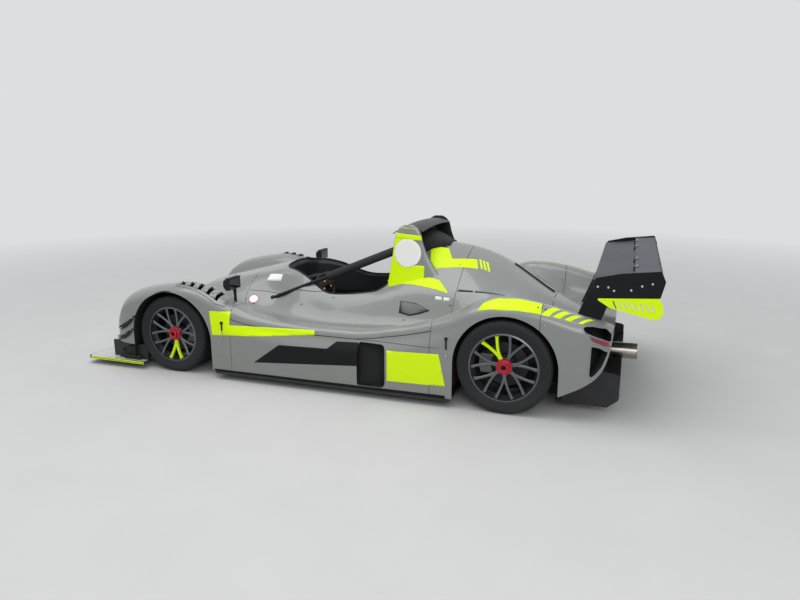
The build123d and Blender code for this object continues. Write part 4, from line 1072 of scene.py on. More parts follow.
def louvre_flap(k):
    """A flap ahead of a slot: flush at its front edge, and lifted in the middle at its rear edge."""
    slot = np.array(louvre_corners(k))
    u, w = np.meshgrid(np.linspace(0, 1, 9), np.linspace(0, 1, 15), indexing="ij")
    rear = slot[1] + (slot[2] - slot[1]) * (0.03 + 0.94 * w[..., None]) - (FLAP_BACK, 0)
    front = rear + (LOUVRE_PITCH - LOUVRE_LENGTH + FLAP_LAP, 0)
    place = front + (rear - front) * u[..., None]
    rise = FLAP_RISE * smooth_step(u) * (1 - (2 * w - 1) ** 6)
    points = over_top(place[..., 0].ravel(), place[..., 1].ravel(), (rise + 0.0006).ravel())
    return points, grid_faces(9, 15).tolist()


flaps = with_mirror(*joined([louvre_flap(k) for k in range(LOUVRES)]))
thick(new_piece("louvre_flaps", *flaps, PAINT, smooth=50), 0.0018)
LINE_UP, LINE_DEEP = 0.0006, 0.0008


def strip_outline(a, b, width):
    """A thin straight strip between two points."""
    a, b = np.asarray(a, float), np.asarray(b, float)
    side = np.array([-(b - a)[1], (b - a)[0]]) * width / 2 / np.linalg.norm(b - a)
    return [a + side, b + side, b - side, a - side]


def drawn_lines(name, points, width, place):
    """Dark hairlines from each point to the next, as shut lines show in the paint."""
    strips = [strip_outline(a, b, width) for a, b in zip(points, points[1:])]
    film(name, strips, DEEP_BLACK, place, height=LINE_UP, depth=LINE_DEEP)


border = [(2.040, 0.706), (2.022, 0.848), (2.090, 0.862), (2.452, 0.826), (2.446, 0.762), (2.220, 0.704)]
drawn_lines("louvre_panel_lines", border + border[:1], 0.0028, over_top)
report("louvre_flaps", "louvre_panel_lines")

# %% [markdown]
# ## Colours on the body
# The lime, black and dark stripes are films laid on the paint. Each one is a plain outline in the plan or in
# the side view, cut into cells and carried onto the surface, so it bends with the panel as real film does.
# Places are metres from the rear axle. Both flanks carry the same pattern.

# %% Lime films
front_lime = [(2.134, 0.506), (1.968, 0.509), (1.974, 0.412), (1.321, 0.420), (1.318, 0.389), (1.720, 0.352),
              (2.122, 0.329)]
side_lime = [(0.772, 0.343), (0.417, 0.353), (0.372, 0.142), (0.773, 0.134)]
film("lime_front", [front_lime], LIME, over_side)
film("lime_side", [side_lime], LIME, over_side)
STRIPE_OUT = [(0.176, 0.862), (0.051, 0.870), (-0.074, 0.867), (-0.148, 0.864), (-0.214, 0.862)]
STRIPE_IN = [(-0.209, 0.765), (-0.159, 0.762), (-0.060, 0.762), (0.063, 0.776), (0.147, 0.812)]
film("lime_fender", [STRIPE_OUT + STRIPE_IN], LIME, over_top)
SLASHES = [(-0.217, -0.262), (-0.285, -0.326), (-0.352, -0.389), (-0.431, -0.458)]
SLASH_RUN, SLASH_SLANT = 0.24, 0.062


def slash(front, rear):
    """A slanted bar across the fender's crest: it runs forward as it goes outwards."""
    share = (SLASHES[0][0] - front) / SLASH_RUN
    inner_y = 0.768 + 0.01 * share
    return [(front, 0.862 - 0.02 * share), (rear, 0.860 - 0.02 * share), (rear - SLASH_SLANT, inner_y),
            (front - SLASH_SLANT, inner_y)]


film("lime_slashes", [slash(*pair) for pair in SLASHES], LIME, over_top)


spine_lime = [(0.690, 0.150), (0.560, 0.138), (0.500, 0.255), (0.330, 0.205), (0.300, 0.300), (0.600, 0.352),
              (0.655, 0.285)]
slits = [[(x, 0.196), (x - 0.014, 0.190), (x - 0.050, 0.288), (x - 0.036, 0.292)]
         for x in (0.318, 0.292, 0.266)]
film("lime_spine", [spine_lime] + slits, LIME, over_top)
film("dark_patch", [[(0.705, 0.110), (0.640, 0.095), (0.563, 0.132), (0.688, 0.146)]], BLACK_FILM, over_top)
report("lime_front", "lime_side", "lime_fender", "lime_slashes", "lime_spine", "dark_patch")

# %% Black films and pale marks
black_graphic = [(1.783, 0.157), (1.577, 0.305), (1.208, 0.313), (1.148, 0.362), (0.987, 0.368),
                 (0.987, 0.215)]
film("black_side", [black_graphic], BLACK_FILM, over_side)
sill_band = [(2.120, 0.074), (2.120, 0.061), (0.372, 0.061), (0.372, 0.080)]
film("sill_band", [sill_band], BLACK_FILM, over_side)
sticker = [(1.961, 0.295), (1.845, 0.308), (1.848, 0.336), (1.974, 0.334)]
film("plain_sticker", [sticker], WHITE_FILM, over_top, two_sides=False)


def disc_outline(x, y, radius, count=36, share=1.0):
    """A circle; share narrows it across, for a disc that is laid on a slope and drawn in plan."""
    return arc(0, 0, radius, 0, 360, count + 1)[:-1] * (1, share) + (x, y)


MARK_PLACE, MARK_SHARE = (2.022, 0.464), 0.74
film("round_mark_edge", [disc_outline(*MARK_PLACE, 0.044, share=MARK_SHARE)], RED_FILM, over_top,
     two_sides=False)
film("round_mark", [disc_outline(*MARK_PLACE, 0.038, share=MARK_SHARE)], WHITE_FILM, over_top, height=0.0018,
     two_sides=False)
film("small_marks", [[(0.545, 0.522), (0.492, 0.528), (0.492, 0.540), (0.545, 0.534)],
                     [(0.484, 0.529), (0.440, 0.534), (0.440, 0.546), (0.484, 0.541)]], WHITE_FILM, over_top)
report("black_side", "sill_band", "plain_sticker", "round_mark_edge", "round_mark", "small_marks")

# %% Shut lines drawn in the paint
HOOD_LINE = [(2.085, 0.404), (2.00, 0.396), (1.90, 0.387), (1.79, 0.390), (1.70, 0.405), (1.62, 0.425),
             (1.50, 0.432), (1.44, 0.430)]
POD_LINE = [(1.322, 0.3865), (0.990, 0.388), (0.420, 0.394)]
drawn_lines("hood_lines", HOOD_LINE, 0.003, over_top)
drawn_lines("pod_lines", POD_LINE, 0.0025, over_side)
report("hood_lines", "pod_lines")

# %% [markdown]
# ## Wheels
# A centre-lock racing wheel: a turned barrel, seven Y-shaped spokes and a red locking nut, inside a slick
# tyre. The turned parts are sections carried round the axle. Each spoke is a bar with chamfered edges that
# follows a line in the wheel's plane, because a bar that narrows and then flares reads as a casting.
# One spoke of each wheel is lime. The right wheels are mirror images of the left ones.

# %% Tyre and rim sections
RIDES = {}
RIM_R = {"f": 0.208, "r": 0.221}
BEAD, BEAD_HIGH, SHOULDER_HIGH, SHOULDER_WIDE = 0.008, 0.002, 0.032, 0.030


def tyre_section(radius, rim, face, back):
    """Bead, a sidewall that leans out as a sine, a small rib, a round shoulder and a crowned tread."""
    t = np.linspace(0, 1, 9)
    wall_foot, wall_top = rim + BEAD_HIGH, radius - SHOULDER_HIGH
    wall_y = face - BEAD * (1 - np.sin(t * np.pi / 2))
    wall = np.stack([wall_y, wall_foot + (wall_top - wall_foot) * t], 1)
    wall[1:3, 0] += (0.0025, 0.0010)
    turn = np.radians(np.linspace(12, 90, 7))
    bend_y = face - SHOULDER_WIDE + SHOULDER_WIDE * np.cos(turn) ** 0.9
    bend = np.stack([bend_y, wall_top + SHOULDER_HIGH * np.sin(turn)], 1)
    half = np.concatenate([[(face - BEAD - 0.012, rim)], wall, bend])
    mirror_half = half[::-1] * (-1, 1) + (face + back, 0)
    return np.concatenate([half, [((face + back) / 2, radius + 0.0004)], mirror_half])


def rim_section(rim, face, back):
    """Outer lip with a rolled edge, the well and the inner lip, then back along the inside of the barrel."""
    lip = face - 0.004
    outside = [(lip - 0.004, rim + 0.003), (lip - 0.016, rim + 0.0015), (lip - 0.030, rim - 0.002),
               (lip - 0.055, rim - 0.020), (back + 0.080, rim - 0.020), (back + 0.045, rim - 0.002),
               (back + 0.008, rim + 0.002)]
    inside = [(back + 0.008, rim - 0.008), (back + 0.045, rim - 0.012), (back + 0.080, rim - 0.027),
              (lip - 0.055, rim - 0.027), (lip - 0.034, rim - 0.014), (lip - 0.010, rim - 0.0105),
              (lip - 0.001, rim - 0.0095), (lip, rim - 0.006)]
    return np.array(outside + inside)


# %% Spokes
SPOKES, FORK_SHARE = 7, 0.42
SPREAD = np.radians(14.5)
STEM_WIDE, STEM_THICK = np.array([0.031, 0.027, 0.0245, 0.0235, 0.024]), 0.022
ARM_WIDE, ARM_WAIST, ARM_FLARE, ARM_THICK = 0.0182, 0.0015, 0.005, 0.020
CHAMFER = 0.0022


def spoke_bar(path, width, front, thick_y, angle, x, z):
    """A bar in the wheel's plane. The path is radial and sideways places; the section is a chamfered box."""
    ahead = np.gradient(path, axis=0)
    ahead /= np.linalg.norm(ahead, axis=1, keepdims=True)
    side = np.stack([-ahead[:, 1], ahead[:, 0]], 1)
    w, c = (width / 2)[:, None], CHAMFER
    offset = np.concatenate([w, w, w - c, c - w, -w, -w, c - w, w - c], 1)
    f, b = front[:, None], (front - thick_y)[:, None]
    y = np.concatenate([b + c, f - c, f, f, f - c, b + c, b, b], 1)
    place = path[:, None] + offset[..., None] * side[:, None]
    u, v = place[..., 0], place[..., 1]
    across, up = u * np.cos(angle) - v * np.sin(angle), u * np.sin(angle) + v * np.cos(angle)
    return lofted(np.stack([x + across, y, z + up], -1))


def spokes(x, z, rim, face, lime_angle):
    """Seven stems that fork into two bowed arms, each a curve of second degree; one stem is at lime_angle."""
    reach = rim - 0.014
    fork = FORK_SHARE * reach
    stem = np.stack([np.linspace(0.040, fork + 0.006, 5), np.zeros(5)], 1)
    t = np.linspace(0, 1, 9)[:, None]
    wide = ARM_WIDE - ARM_WAIST * np.sin(np.pi * t[:, 0]) + ARM_FLARE * np.clip(t[:, 0] - 0.86, 0, 1) / 0.14
    parts = []

    def front_at(r):
        """The place of a spoke's front face at a distance from the axle."""
        return face - 0.044 + 0.026 * (r - 0.04) / (reach - 0.04)

    for k in range(SPOKES):
        angle = lime_angle + 2 * np.pi * k / SPOKES
        parts.append(spoke_bar(stem, STEM_WIDE, front_at(stem[:, 0]), STEM_THICK, angle, x, z))
        for s in (-1, 1):
            a, b = np.array([fork - 0.008, 0.004 * s]), np.array([fork + 0.038, 0.012 * s])
            c = np.array([reach * np.cos(SPREAD), reach * np.sin(SPREAD) * s])
            arm = (1 - t) ** 2 * a + 2 * t * (1 - t) * b + t * t * c
            front = front_at(np.linalg.norm(arm, axis=1))
            parts.append(spoke_bar(arm, wide, front, ARM_THICK, angle, x, z))
    return parts


# %% Locking nut, hub and bore
# place from the tyre's outer face, and radius
NUT = np.array([(-0.046, 0.052), (-0.036, 0.052), (-0.033, 0.050), (-0.033, 0.040), (-0.030, 0.036),
                (-0.014, 0.033), (-0.012, 0.031), (-0.012, 0.019), (-0.014, 0.017), (-0.046, 0.017)])
HUB = np.array([(-0.075, 0.010), (-0.075, 0.060), (-0.052, 0.058), (-0.045, 0.053), (-0.045, 0.010)])
BORE = np.array([(-0.052, 0.001), (-0.052, 0.018), (-0.030, 0.018), (-0.030, 0.001)])
NUT_STEPS, SCALLOPS, FLATS = 96, 8, 6


def nut(x, z, face):
    """The red locking nut: a flange with scallops, and a raised ring with flats, each a power of a cosine."""
    points, faces = turned(NUT + (face, 0), 0.0, 0.0, NUT_STEPS)
    ring = points.reshape(NUT_STEPS, len(NUT), 3)
    turn = np.linspace(0, 2 * np.pi, NUT_STEPS, endpoint=False)[:, None, None]
    ring[:, 1:3, ::2] *= 1 - 0.075 * np.clip(np.cos(SCALLOPS * turn), 0, 1) ** 2
    ring[:, 4:6, ::2] *= 1 - 0.10 * np.clip(np.cos(FLATS * turn), 0, 1) ** 4
    return ring.reshape(-1, 3) + (x, 0, z), faces


LIME_TURN = {"f": np.radians(-92), "r": np.radians(62)}

# %% The four wheels
SPOKE_MARKS = [0] + [1] * 3 + [0] * (3 * SPOKES - 3)
for end, x, radius, box in (("f", FRONT_X, FRONT_R, front_tyre), ("r", REAR_X, REAR_R, rear_tyre)):
    face, back, rim = box[1].y, box[0].y, RIM_R[end]
    hub = turned(HUB + (face, 0), x, radius, 64)
    bore = turned(BORE + (face, 0), x, radius, 32)
    left = {
        "tyre": ([turned(tyre_section(radius, rim, face, back), x, radius, 128)], RUBBER, None, 40),
        "barrel": ([turned(rim_section(rim, face, back), x, radius, 112)], BARREL, None, 30),
        "spokes": ([hub] + spokes(x, radius, rim, face, LIME_TURN[end]), [WHEEL_GREY, LIME], SPOKE_MARKS, 25),
        "nut": ([nut(x, radius, face), bore], [RED_NUT, DEEP_BLACK], [0, 1], 30)}
    for side in ("l", "r"):
        for kind, (parts, material, marks, smooth) in left.items():
            parts = parts if side == "l" else [mirrored(part) for part in parts]
            piece = solid(kind + "_" + end + side + "_look", parts, material, smooth, marks=marks)
            RIDES[piece.name] = "wheel_" + end + side
            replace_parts(piece, ("tyre_" if kind == "tyre" else "rim_") + end + side)
report(*RIDES)

# %% [markdown]
# ## Blades beside the roll hoop
# Two upright blades cover the roll hoop's legs. A blade is a stack of level sections: each has a front and a
# rear place, a half thickness and a middle, and bulges as a rounded lens. Low down it flares into the body.

# %% Blades
# height, front x, rear x from the rear axle, half thickness, middle y
BLADE = np.array([
    (0.60, 0.955, 0.425, 0.070, 0.385), (0.66, 0.945, 0.475, 0.052, 0.387),
    (0.72, 0.935, 0.522, 0.038, 0.389), (0.80, 0.920, 0.577, 0.029, 0.388),
    (0.90, 0.905, 0.640, 0.025, 0.386), (1.00, 0.891, 0.680, 0.023, 0.385),
    (1.06, 0.874, 0.695, 0.021, 0.384), (1.10, 0.850, 0.722, 0.016, 0.383),
    (1.118, 0.815, 0.755, 0.009, 0.383)])
BLADE_FOOT, BLADE_HEIGHT = 0.60, 0.518


def blade_surface(s, z, side=1.0):
    """A blade's point: s runs from rear edge to front edge, and the bulge is a flattened half circle."""
    s, z, side = np.broadcast_arrays(s, z, side)
    front, rear, half, middle = (column.reshape(z.shape) for column in rails(BLADE, z))
    bulge = np.clip(4 * s * (1 - s), 0, 1) ** 0.42
    return np.stack([rear + (front - rear) * s + REAR_X, middle + side * half * bulge, z], -1)


def blade_part():
    """A blade's closed skin: level rings of its surface, closer together near the top."""
    z = BLADE_FOOT + BLADE_HEIGHT * (1 - (1 - np.linspace(0, 1, 44)) ** 1.25)
    s = (1 - np.cos(np.linspace(0, np.pi, 21))) / 2
    around = np.concatenate([s, s[::-1][1:-1]])
    side = np.concatenate([np.ones(21), -np.ones(19)])
    return lofted(blade_surface(around[None], z[:, None], side[None]))


def on_blade(a, b, height):
    """A place in the side view on the blade's outer face, lifted outwards and held inside its edges."""
    front, rear = rails(BLADE, b)[:2]
    s = np.clip((a - rear) / (front - rear), 0.004, 0.996)
    points = blade_surface(s, b)
    points[:, 1] += height
    return points


blades = solid("blades", both([blade_part()]), [PAINT, BLACK_FILM], smooth=50)
centres = np.empty(3 * len(blades.data.polygons))
blades.data.polygons.foreach_get("center", centres)
centres = centres.reshape(-1, 3)
middle_y = rails(BLADE, centres[:, 2])[3]
blades.data.polygons.foreach_set("material_index", (np.abs(centres[:, 1]) < middle_y - 0.002).astype(int))
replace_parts(blades, "hoop_fairings")
BLADE_FILMS = [
    [(0.965, 0.63), (0.880, 1.025), (0.800, 1.022), (0.800, 0.842), (0.660, 0.836), (0.660, 0.735),
     (0.500, 0.70), (0.46, 0.64)],
    [(0.880, 1.028), (0.870, 1.062), (0.690, 1.046), (0.680, 1.013)],
    [(0.850, 1.0985), (0.845, 1.1015), (0.720, 1.0925), (0.715, 1.0895)]]
film("lime_blade", BLADE_FILMS, LIME, on_blade, height=0.0014)
film("roundel", [disc_outline(0.785, 0.922, 0.100, 48)], WHITE_FILM, on_blade, height=0.0028)
blade_foot = [(0.950, 0.396), (0.700, 0.400), (0.545, 0.432), (0.458, 0.515), (0.700, 0.462)]
film("lime_blade_foot", [blade_foot], LIME, over_top)
report("blades", "lime_blade", "roundel", "lime_blade_foot")

# %% Hoop cover and intake
def hoop_cover():
    """A carbon bridge over the hoop from blade to blade: in side view a flattened arch, crowned across."""
    u, w = np.meshgrid(np.linspace(0, 1, 25), np.linspace(-1, 1, 33), indexing="ij")
    x = 0.905 - 0.215 * u
    z = 1.038 + 0.075 * np.sin(np.pi * (0.10 + 0.72 * u)) ** 0.8 - 0.018 * w ** 2
    return np.stack([x + REAR_X, 0.375 * w, z], -1), grid_faces(25, 33)


thick(new_piece("hoop_cover", *hoop_cover(), CARBON, smooth=60), 0.005)
# x from the rear axle, half width, height of the top
SCOOP_ROWS = np.array([(0.560, 0.090, 0.962), (0.610, 0.130, 0.985), (0.670, 0.170, 1.012),
                       (0.740, 0.205, 1.034), (0.800, 0.225, 1.045)])


def intake_shell():
    """The airbox scoop: each cut is a half superellipse that stands on the spine."""
    x = np.linspace(0.560, 0.800, 19)
    wide, top = (column[:, None] for column in rails(SCOOP_ROWS, x))
    turn = np.linspace(0, np.pi, 41)[None]
    y = wide * np.sign(np.cos(turn)) * np.abs(np.cos(turn)) ** 0.62
    px = np.broadcast_to(x[:, None], y.shape)
    foot = over_top(px.ravel(), np.abs(y).ravel(), 0)[:, 2].reshape(y.shape) - 0.012
    z = foot + (top - foot) * np.sin(turn) ** 0.55
    return np.stack([px + REAR_X, y, z], -1), grid_faces(19, 41)


intake = new_piece("intake_scoop", *intake_shell(), [CARBON, DEEP_BLACK], smooth=50)
thick(intake, 0.005)
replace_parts(intake, "air_intake")
report("hoop_cover", "intake_scoop")

# %% [markdown]
# ## Roll cage braces
# Two bars run from the hoop down to the cockpit's front corners. The lower half of each is a bare tube with
# turned ribs, and the upper half is wrapped in a thick foam pad, whose radius swells a little between wraps.

# %% Braces
BRACE_TOP, BRACE_FOOT = np.array([REAR_X + 0.805, 0.320, 0.965]), np.array([REAR_X + 1.890, 0.417, 0.520])
PAD_START, PAD_END, PAD_R, PAD_ROUND = 0.42, 0.93, 0.0295, 0.012


def along_brace(t):
    """Places on the brace's line; t runs from 0 at the foot to 1 at the top."""
    return BRACE_FOOT + (BRACE_TOP - BRACE_FOOT) * np.reshape(t, (-1, 1))


t = np.linspace(0.012, 0.44, 200)
ribbed = tube(along_brace(t), 0.0135 + 0.0022 * np.clip(np.cos(t * 330), 0, 1) ** 3, 18)
end_bar = tube(along_brace(np.linspace(0.90, 0.985, 6)), 0.018, 18)
pin = tube([(BRACE_FOOT[0], BRACE_FOOT[1], z) for z in (0.436, 0.47, 0.50, 0.522)], 0.0075, 16, up=(1, 0, 0))
cup = tube(along_brace(np.linspace(-0.004, 0.022, 5)), np.array([0.010, 0.018, 0.020, 0.020, 0.015]), 18)
bars = solid("brace_bars", both([ribbed, end_bar, pin, cup]), SATIN_BLACK, smooth=50)
t = np.linspace(PAD_START, PAD_END, 160)
from_end = np.clip(np.minimum(t - PAD_START, PAD_END - t) / PAD_ROUND, 0, 1)
swell = PAD_R - 0.010 * (1 - from_end ** 0.5) + 0.0008 * np.cos(t * 260) ** 2
pads = solid("brace_pads", both([tube(along_brace(t), swell, 24)]), PADDING, smooth=60)
for piece in (bars, pads):
    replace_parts(piece, "front_braces")
report("brace_bars", "brace_pads")

# %% [markdown]
# ## Cockpit
# The seat is a carbon bucket with padded covers, the wheel is a flat-bottomed ring with a display. Pads are
# crowned boxes: a superellipse in plan, with a soft edge and sewn channels pressed into the face.

# %% Seat
PAD_ROWS, PAD_COLUMNS, SEAT_WALL = 29, 37, 0.006


def pad_part(size, place, lean=0.0, channels=0):
    """A crowned pad: two domed faces that meet in a seam; lean tips it back about its lower edge."""
    u, v = np.meshgrid(np.linspace(-1, 1, PAD_ROWS), np.linspace(-1, 1, PAD_COLUMNS), indexing="ij")
    dome = (np.clip(1 - np.abs(u) ** 4, 0, 1) * np.clip(1 - np.abs(v) ** 4, 0, 1)) ** 0.5
    groove = 0 * u
    if channels:
        groove = 0.12 * np.exp(-((u * (channels + 1) / 2 * np.pi) % np.pi - np.pi / 2) ** 2 / 0.02)
    long, wide, thick_z = size
    x, y = u * long / 2, v * wide / 2
    parts = []
    for sign in (1, -1):
        z = sign * thick_z / 2 * dome * (1 - (groove if sign > 0 else 0))
        leaned = x * np.cos(lean) - z * np.sin(lean), y, x * np.sin(lean) + z * np.cos(lean)
        parts.append(np.stack(leaned, -1).reshape(-1, 3))
    faces = grid_faces(PAD_ROWS, PAD_COLUMNS)
    points = np.concatenate(parts) + np.asarray(place) + (REAR_X, 0, 0)
    return points, np.concatenate([faces, faces[:, ::-1] + PAD_ROWS * PAD_COLUMNS]).tolist()


SEAT_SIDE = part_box("seat")[1].y
shell_rows = rounded([(1.335, 0.075, 0), (0.965, 0.075, 0.05), (0.800, 0.560, 0.02), (0.805, 0.618, 0.02),
                      (0.925, 0.618, 0.05), (1.060, 0.270, 0.09), (1.330, 0.235, 0.03)])
cheek = side_tool(shell_rows, SEAT_SIDE - SEAT_WALL, SEAT_WALL)
back_line = rounded([(1.335, 0.075, 0), (0.965, 0.075, 0.07), (0.800, 0.560, 0.0), (0.803, 0.612, 0.0),
                     (0.811, 0.612, 0.0), (0.809, 0.560, 0.0), (0.975, 0.084, 0.07), (1.335, 0.084, 0)])
shell = side_tool(back_line, -SEAT_SIDE + SEAT_WALL, 2 * SEAT_SIDE - 2 * SEAT_WALL)
bucket = solid("seat_bucket", both([cheek]) + [shell], CARBON, smooth=30, bevel=0.002)
pad_parts = [pad_part((0.30, 0.36, 0.040), (1.170, 0, 0.108), 0.03, 2),
             pad_part((0.44, 0.34, 0.036), (0.905, 0, 0.350), 1.90, 3),
             pad_part((0.10, 0.20, 0.045), (0.838, 0, 0.590), 1.85)]
cushions = solid("seat_pads", pad_parts, CLOTH, smooth=70)
for piece in (bucket, cushions):
    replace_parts(piece, "seat")
BELT_WIDE, BELT_THICK = 0.045, 0.003


def belt(points):
    """Flat webbing along a few points, as a tube squeezed flat."""
    path = np.array(points, float)
    t = np.linspace(0, len(path) - 1, 24)
    path = [smooth_through(np.arange(len(path)), column, t[None])[0] for column in path.T]
    path = np.stack(path, 1) + (REAR_X, 0, 0)
    return tube(path, BELT_WIDE / 2, 12, up=(0, 1, 0.001), flat=BELT_THICK / BELT_WIDE)


shoulder_belt = belt([(0.845, 0.085, 0.555), (0.880, 0.080, 0.470), (0.955, 0.060, 0.300),
                      (1.055, 0.030, 0.165)])
lap_belt = belt([(0.985, 0.195, 0.120), (1.040, 0.150, 0.150), (1.085, 0.040, 0.160)])
disc, disc_faces = turned([(-0.030, 0.001), (-0.030, 0.028), (0.030, 0.028), (0.030, 0.001)], 0, 0, 32)
buckle = disc[:, [0, 2, 1]] * (1, 1, 0.35) + (REAR_X + 1.080, 0, 0.168), disc_faces
solid("belts", both([shoulder_belt, lap_belt]) + [buckle], [WEBBING, STEEL], smooth=50, marks=[0, 0, 0, 0, 1])
report("seat_bucket", "seat_pads", "belts")

# %% Steering wheel
COLUMN_LOW, COLUMN_HIGH = np.array([REAR_X + 2.560, 0, 0.345]), np.array([REAR_X + 1.640, 0, 0.565])
axis = (COLUMN_HIGH - COLUMN_LOW) / np.linalg.norm(COLUMN_HIGH - COLUMN_LOW)
across = np.array([0.0, 1.0, 0.0])
upward = np.cross(axis, across)
WHEEL_WAYS = np.stack([across, upward, axis])


def on_column(u, v, w):
    """A place on the steering wheel: sideways, up its face, and along the column towards the driver."""
    return COLUMN_HIGH + np.stack(np.broadcast_arrays(u, v, w), -1) @ WHEEL_WAYS


def symmetric_face(rows):
    """Rows of two places on the wheel's face and a radius, with their mirror images in the opposite order."""
    return rows + [(-u, v, r) for u, v, r in reversed(rows)]


def column_plate(rows, w0, w1):
    """A plate across the column, from place w0 to w1 along it."""
    return prism(on_column(*rounded(rows).T, w0), axis * (w1 - w0))


ring = resampled(rounded(symmetric_face([(0.127, -0.085, 0.05), (0.127, 0.092, 0.06)]), 12), 0.012)
grip = tube(on_column(*ring.T, 0.013), 0.0125, 14, up=tuple(axis), closed=True)
PLATE_SIDE = [(0.075, -0.050, 0.02), (0.118, -0.022, 0.01), (0.118, 0.022, 0.01), (0.075, 0.052, 0.02)]
hub_plate = column_plate(symmetric_face(PLATE_SIDE), 0.002, 0.020)
display = column_plate(symmetric_face([(0.045, 0.005, 0.003), (0.045, 0.042, 0.003)]), 0.019, 0.023)
shaft_path = [COLUMN_LOW + (COLUMN_HIGH - COLUMN_LOW) * s for s in (0, 0.3, 0.6, 1.004)]
shaft = tube(shaft_path, 0.011, 20, up=(0, 1, 0))
BUTTONS = [(0.062, 0.025), (0.062, -0.005), (-0.062, 0.025), (-0.062, -0.005), (0.025, -0.028),
           (-0.025, -0.028)]
BUTTON_HALF = 0.007
corners = np.array([(1, -1), (1, 1), (-1, 1), (-1, -1)]) * BUTTON_HALF
buttons = [column_plate([(*place, 0.006) for place in corners + middle], 0.018, 0.025) for middle in BUTTONS]
wheel_piece = solid("steering_wheel_look", [grip, hub_plate, display, shaft] + buttons,
                    [SUEDE, CARBON, SCREEN, STEEL, LIME, RED_NUT], smooth=40, marks=[0, 1, 2, 3] + [4, 5] * 3)
RIDES[wheel_piece.name] = "steering_wheel"
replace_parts(wheel_piece, "steering_wheel")
report("steering_wheel_look")

# %% [markdown]
# ## Nose: splitter, dive planes and feet
# The splitter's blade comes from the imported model. It gets a thin pale skin on its top, lime strips along
# each side edge and black foot boxes behind the corner. The dive planes get upright lips and their bolts.

# %% Splitter dressing
SKIN_X, SKIN_Y, TOP_Z = 2.752, 0.30, 0.060
splitter_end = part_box("splitter")[1]
HALF, NOSE_X = splitter_end.y, splitter_end.x - REAR_X
plan = rounded(symmetric([(SKIN_X, SKIN_Y, 0), (SKIN_X, HALF - 0.022, 0),
                          (NOSE_X - 0.006, HALF - 0.004, 0.045), (NOSE_X - 0.045, SKIN_Y, 0)]))
solid("splitter_skin", [plan_tool(plan, TOP_Z + 0.0002, 0.0022)], PALE_PAINT, bevel=0.001)
STRIP_X, STRIP_Y = (2.745, NOSE_X - 0.040), (HALF - 0.0015, HALF + 0.0015)
strips = [brick(STRIP_X, STRIP_Y, heights, 0.002) for heights in ((0.0545, 0.0630), (0.0440, 0.0500))]
solid("splitter_strips", both(strips), LIME, bevel=0.0008)
foot_side = rounded([(2.744, 0.063, 0), (3.020, 0.063, 0), (2.965, 0.118, 0.02), (3.010, 0.150, 0.03),
                     (2.900, 0.158, 0.02), (2.744, 0.195, 0.01)])
foot = side_tool(foot_side, 0.812, 0.030)
bracket = brick((2.800, 2.955), (0.842, 0.864), (0.063, 0.098), 0.012)
solid("splitter_feet", both([foot, bracket]), SATIN_BLACK, bevel=0.003)


def bolt_parts(places, radius, normal, rise=0.0022):
    """Small domed bolt heads: four rings that close in, stood on a surface along a normal."""
    normal = np.asarray(normal, float) / np.linalg.norm(normal)
    side = np.cross(normal, (0.31, 0.2, 0.93))
    side /= np.linalg.norm(side)
    other = np.cross(normal, side)
    turn = np.linspace(0, 2 * np.pi, 12, endpoint=False)[None, :, None]
    reach = np.array([1.0, 0.98, 0.72, 0.30])[:, None, None] * radius
    high = np.array([-0.6, 0.45, 0.9, 1.0])[:, None, None] * rise
    ring = reach * (np.cos(turn) * side + np.sin(turn) * other) + high * normal
    return [lofted(ring + (np.asarray(p) + (REAR_X, 0, 0))) for p in places]


LIP_OUT = 0.0125
dive_bolts = np.array([(2.955, 0.306), (2.824, 0.402), (2.990, 0.216), (2.852, 0.306)])
outer = over_side(*dive_bolts.T, LIP_OUT) - (REAR_X, 0, 0)
upper_lip = [(2.995, 0.306), (2.870, 0.372), (2.812, 0.418), (2.808, 0.398), (2.860, 0.345), (2.949, 0.293)]
lower_lip = [(3.060, 0.208), (3.007, 0.223), (2.925, 0.256), (2.842, 0.320), (2.842, 0.300), (2.868, 0.262),
             (2.929, 0.223), (2.999, 0.203), (3.060, 0.196)]
film("dive_lips", [upper_lip, lower_lip], SATIN_BLACK, over_side, height=LIP_OUT, depth=0.003)
solid("dive_bolts", both(bolt_parts(outer, 0.0062, (0, 1, 0.25), 0.003)), CUT_METAL, smooth=60)
report("splitter_skin", "splitter_strips", "splitter_feet", "dive_lips", "dive_bolts")

# %% [markdown]
# ## Wing
# Main plane and flap are true aerofoils: a thickness law along a bent middle line, carried straight across
# the car. The endplates are flat sheets, black above and lime below, with slanted slots in the lime part.

# %% Wing planes
WING_Y, SECTION_STEPS, SPAN_STEPS = 0.856, 26, 9


def aerofoil(front, rear, thick_share, camber):
    """A closed section from nose to tail: its half thickness follows sqrt(s)(1-s), sagging by camber."""
    front, rear = np.asarray(front, float), np.asarray(rear, float)
    s = (1 - np.cos(np.linspace(0, np.pi, SECTION_STEPS))) / 2
    chord = rear - front
    long = np.linalg.norm(chord)
    ahead, up = chord / long, np.array([chord[1], -chord[0]]) / long
    up = up if up[1] > 0 else -up
    half = thick_share * long * 1.3 * np.sqrt(s) * (1 - s) + 0.0009
    bend = -camber * long * 4 * s * (1 - s)
    line = front + s[:, None] * chord + bend[:, None] * up
    upper, lower = line + half[:, None] * up, line - half[:, None] * up
    return np.concatenate([upper, lower[::-1]])


def wing_part(section):
    """An aerofoil's section carried straight across the car."""
    y = np.linspace(-WING_Y, WING_Y, SPAN_STEPS)[:, None]
    return lofted(np.stack(np.broadcast_arrays(section[:, 0] + REAR_X, y, section[:, 1]), -1))


